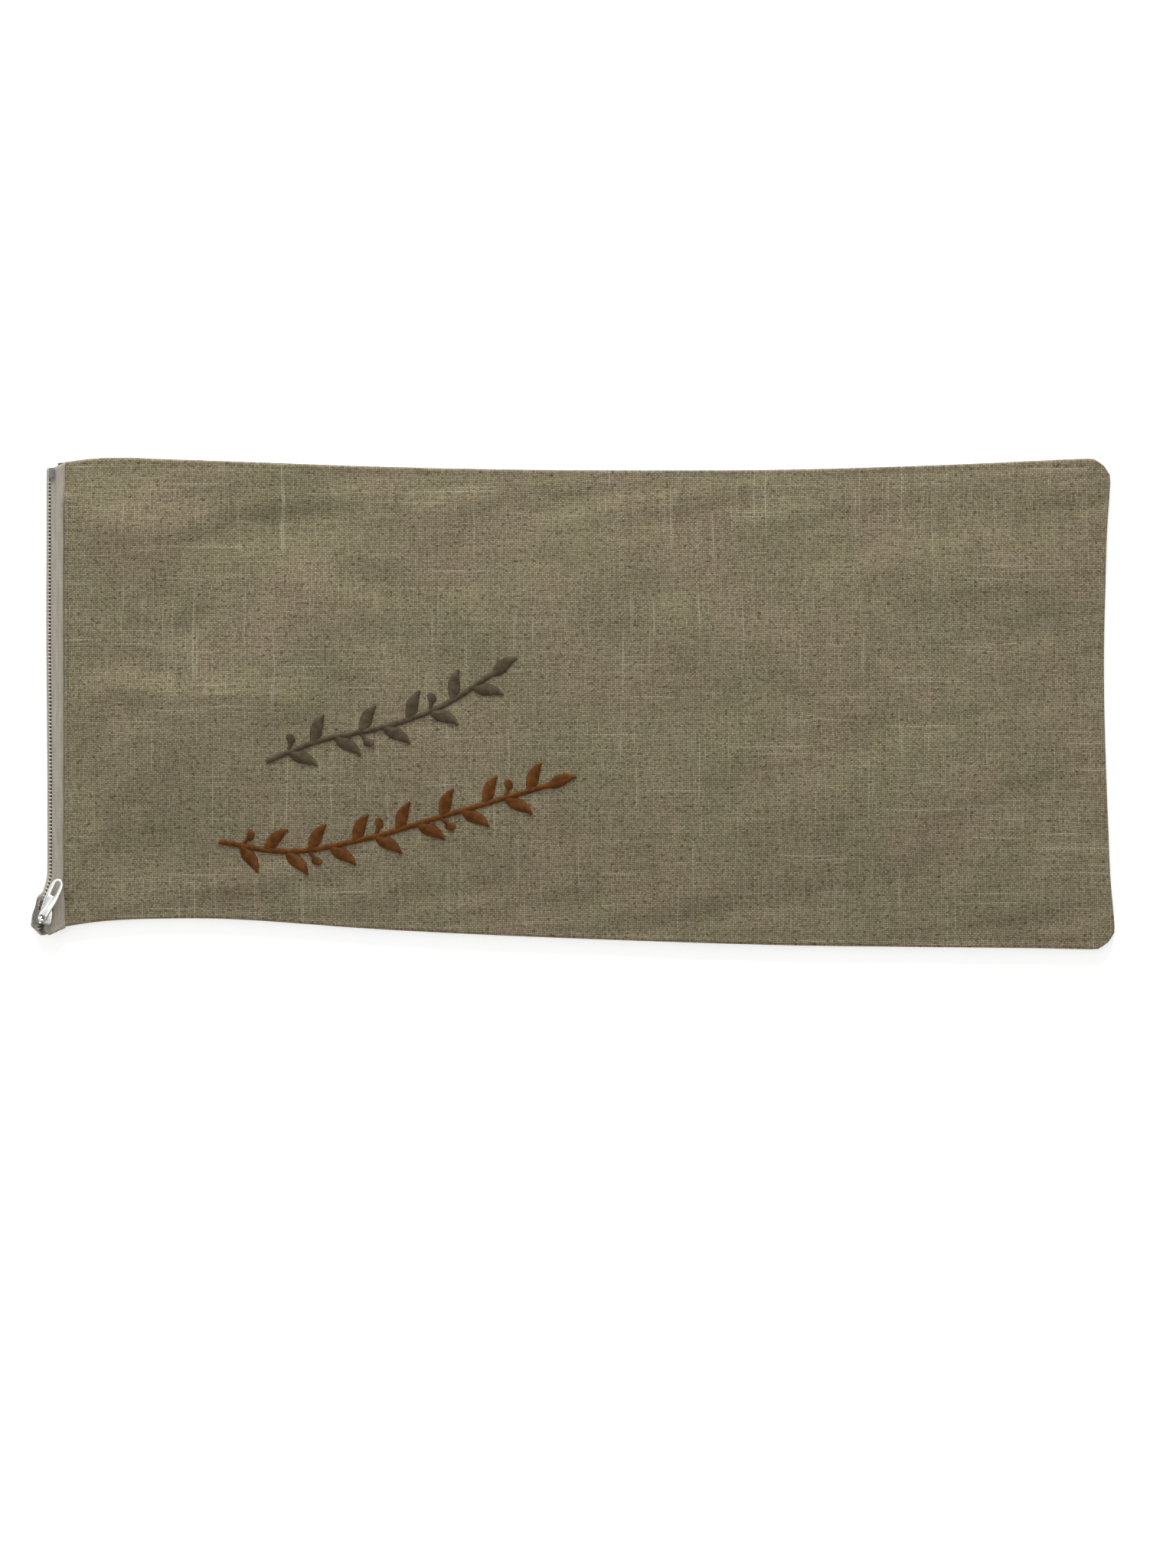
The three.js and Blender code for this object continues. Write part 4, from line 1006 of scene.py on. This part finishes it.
def rounded(name, node, body, material, width):
    surface = cad_surface(node)
    bmesh.ops.dissolve_limit(surface, angle_limit=FLAT, verts=surface.verts, edges=surface.edges)
    joined = [edge for edge in surface.edges if len(edge.link_faces) == 2]
    sharp = [edge for edge in joined if edge.calc_face_angle(0) > SHARP]
    bmesh.ops.bevel(
        surface, geom=sharp, offset=width * MM, offset_type="OFFSET", segments=2, profile=0.6,
        affect="EDGES", clamp_overlap=True,
    )
    bmesh.ops.triangulate(surface, faces=surface.faces)
    mesh = bpy.data.meshes.new(name)
    surface.to_mesh(mesh)
    surface.free()
    mesh.materials.append(material)
    mesh.shade_smooth()
    mesh.set_sharp_from_angle(angle=SHADED_SHARP)
    piece = in_scene(name, mesh)
    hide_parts(node)
    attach(piece, body)
    print(name, len(mesh.polygons), "faces")


rounded("slider_body", "slider", "bag", nickel, 0.16)
rounded("pull_plate", "pull_tab", "pull", nickel, 0.12)
rounded("stop_clip", "bottom_stop", "bag", gunmetal, 0.14)

# %% [markdown]
# ## Embroidery
#
# The sprigs are satin stitch: the thread goes across each leaf from edge to edge, side
# by side, so every leaf stands up in the middle and catches the light in one direction.
# A bump map on a flat patch loses that. Each stitch here is a thread of its own. The
# script lays the stitches out as short guide lines that arch over the linen, and a tree
# turns every guide into a round thread.

# %% Thread material
def thread_finish(name, low, high):
    material, tree, shader = finish_of(
        name, Roughness=0.55, Sheen_Weight=0.04, Specular_IOR_Level=0.2
    )
    _, _, x, y, _ = millimetres(tree)
    tone = ramp(tree, noise_at(tree, x, y, 0.35, 0.35, 0.0, 4.0), 0.3, 0.7)
    colour, twist = blend_colours(tree, tone, low, high), noise_at(tree, x, y, 5.0, 5.0)
    cover(tree, shader, colour, twist, 0.3, 0.05)
    return material


taupe = thread_finish("taupe_thread", rgb(76, 64, 46), rgb(98, 85, 65))
rust = thread_finish("rust_thread", rgb(88, 48, 8), rgb(116, 70, 18))

# %% The sprigs' plan
BAG_LENGTH = 457.5
LEAF_LENGTH, LEAF_WIDTH, LEAF_SPACING, LEAF_ANGLE = 13.5, 5.8, 9.8, math.radians(48)
LEAF_BEND = 0.25
STEM_WIDTH, BERRY, BERRY_STALK = 2.2, 4.0, 6.0
STEM_POINTS, LEAF_POINTS = 60, 24
THREAD_STEP = 0.36
TAUPE_STEM = ((0.193, -0.235), (0.245, -0.150), (0.305, -0.095), (0.360, -0.010), (0.408, 0.120))
RUST_STEM = ((0.148, -0.560), (0.215, -0.600), (0.290, -0.545), (0.370, -0.445), (0.462, -0.330))
LEAF_ALONG = (0.0, 0.22, 0.45, 0.72, 1.0)
LEAF_WIDE = (0.16, 0.78, 1.0, 0.70, 0.08)


def stem_line(table, shares):
    points = np.array([(along * BAG_LENGTH, across * HALF_WIDTH) for along, across in table])
    return smooth_line(points, shares)


def strokes_of(table):
    """Every stroke of a sprig, as a middle line and half widths, in the zip's frame."""
    count = round((table[-1][0] - table[0][0]) * BAG_LENGTH / LEAF_SPACING)
    shares = np.linspace(0, 1, STEM_POINTS)
    strokes = [(stem_line(table, shares), np.full(STEM_POINTS, STEM_WIDTH / 2))]

    def direction(share):
        a, b = stem_line(table, [share - 0.01, share + 0.01])
        return math.atan2(b[1] - a[1], b[0] - a[0])

    def leaf(base, angle, length, width):
        t = np.linspace(0, 1, LEAF_POINTS)
        bent = angle + LEAF_BEND * t * (1 - t)
        line = base + length * t[:, None] * np.stack([np.cos(bent), np.sin(bent)], axis=1)
        wide = np.interp(t, LEAF_ALONG, LEAF_WIDE)
        wide = np.convolve(np.pad(wide, 2, mode="edge"), np.ones(5) / 5, mode="valid")
        strokes.append((line, wide * width / 2))

    leaf(stem_line(table, [0.99])[0], direction(1), LEAF_LENGTH, LEAF_WIDTH)
    for i in range(1, count):
        share, side = i / count, 1 if i % 2 == 0 else -1
        base = stem_line(table, [share])[0]
        leaf(base, direction(share) + side * LEAF_ANGLE, LEAF_LENGTH, LEAF_WIDTH)
        if i % 3 == 1:
            angle = direction(share) - side * 1.25 * LEAF_ANGLE
            reach = np.array([math.cos(angle), math.sin(angle)])
            t = np.linspace(0, 1, 8)[:, None]
            strokes.append((base + reach * BERRY_STALK * t, np.full(8, STEM_WIDTH / 3)))
            t = np.linspace(-1, 1, 12)
            disc = base + reach * (BERRY_STALK + t[:, None] * BERRY / 2)
            strokes.append((disc, BERRY / 2 * np.sqrt(np.clip(1 - t**2, 0.04, 1))))
    return strokes


linen_surface = bmesh.new()
linen_surface.from_mesh(front_linen.data)
linen_tree = BVHTree.FromBMesh(linen_surface)
linen_surface.free()


def on_linen(x, y, lift):
    """A point over the linen. x and y in millimetres from the mouth's fold."""
    place = (ORIGIN + Vector((x, y, 0))) * MM
    return Vector((place.x, place.y, fall(linen_tree, place.x, place.y).z + lift * MM))


# %% A tree that spins thread round every guide line
THREAD_RADIUS, HEM_THREAD_RADIUS = 0.21, 0.13


def thread_tree(material):
    tree = bpy.data.node_groups.new("thread_" + material.name, "GeometryNodeTree")
    keys = named_inputs(tree, {"Thread Radius": THREAD_RADIUS * MM})
    given = add(tree, "NodeGroupInput").outputs
    lines = add(tree, "GeometryNodeMeshToCurve", {0: given["Geometry"]})
    section = round_section(tree, given["Thread Radius"])
    tubes = add(tree, "GeometryNodeCurveToMesh", {
        "Curve": lines, "Profile Curve": section, "Fill Caps": True})
    finish_tree(tree, tubes, material)
    return tree, keys


def chain(first, count):
    """Edges that join the count points from the first on."""
    return [(first + k, first + k + 1) for k in range(count - 1)]


def point_at(line, reach, s):
    """The line's point at the distance s."""
    return np.array([np.interp(s, reach, line[:, k]) for k in range(2)])


RISE = 0.75  # how high the stitches stand over the linen
STITCH_SINK = 0.08  # how far a stitch's ends go into the linen
SLANT_STITCH = 0.35
STITCH_POINTS = 7


def stitch_guides(strokes, seed):
    """Points and edges of one guide line for each stitch."""
    random = np.random.default_rng(seed)
    points, edges = [], []
    arch = np.linspace(-1, 1, STITCH_POINTS)
    for line, half in strokes:
        steps = np.linalg.norm(np.diff(line, axis=0), axis=1)
        reach = np.concatenate([[0], np.cumsum(steps)])
        for s in np.arange(THREAD_STEP / 2, reach[-1], THREAD_STEP):
            middle = point_at(line, reach, s)
            ahead, back = point_at(line, reach, s + 0.5), point_at(line, reach, s - 0.5)
            forward = (ahead - back) / np.linalg.norm(ahead - back)
            side = np.array([-forward[1], forward[0]])
            width = np.interp(s, reach, half) * (1 + random.uniform(-0.05, 0.05))
            edges += chain(len(points), STITCH_POINTS)
            for t in arch:
                x, y = middle + side * t * width + forward * t * width * SLANT_STITCH
                lift = RISE * min(1.0, 0.45 + width / 2.5) * math.sqrt(max(0.0, 1 - t * t * 0.98))
                points.append(on_linen(x, y, lift - STITCH_SINK))
    return points, edges


for name, table, material, seed in (("taupe", TAUPE_STEM, taupe, 4), ("rust", RUST_STEM, rust, 9)):
    tree, keys = thread_tree(material)
    points, edges = stitch_guides(strokes_of(table), seed)
    sizes = {keys["Thread Radius"]: THREAD_RADIUS * MM}
    piece = grown("sprig_" + name, points, tree, sizes, edges)
    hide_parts("embroidery_" + name)
    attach(piece, "bag")
    print(piece.name, len(points) // STITCH_POINTS, "stitches,", len(piece.data.polygons), "faces")

# %% The row of stitches that holds the mouth's hem
STITCH, STITCH_GAP = 1.15, 0.5
HEM_LINE = 5  # the grid's line that the stitches follow, 1.8 mm in from the mouth
HEM_ENDS = 4  # millimetres left free at each end of the row
HEM_LIFTS = (-0.2, 0.0, 0.05, 0.0, -0.2)
hem_x, hem_y = (front_grid[HEM_LINE] / MM - np.array(ORIGIN.xy)).T
tree, keys = thread_tree(taupe)
points, edges = [], []
for y in np.arange(hem_y[0] + HEM_ENDS, hem_y[-1] - HEM_ENDS, STITCH + STITCH_GAP):
    edges += chain(len(points), len(HEM_LIFTS))
    for t, lift in zip(np.linspace(0, 1, len(HEM_LIFTS)), HEM_LIFTS):
        here = y + STITCH * t
        points.append(on_linen(np.interp(here, hem_y, hem_x), here, lift))
sizes = {keys["Thread Radius"]: HEM_THREAD_RADIUS * MM}
piece = grown("hem_stitches", points, tree, sizes, edges)
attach(piece, "bag")
print(piece.name, len(points) // len(HEM_LIFTS), "stitches")
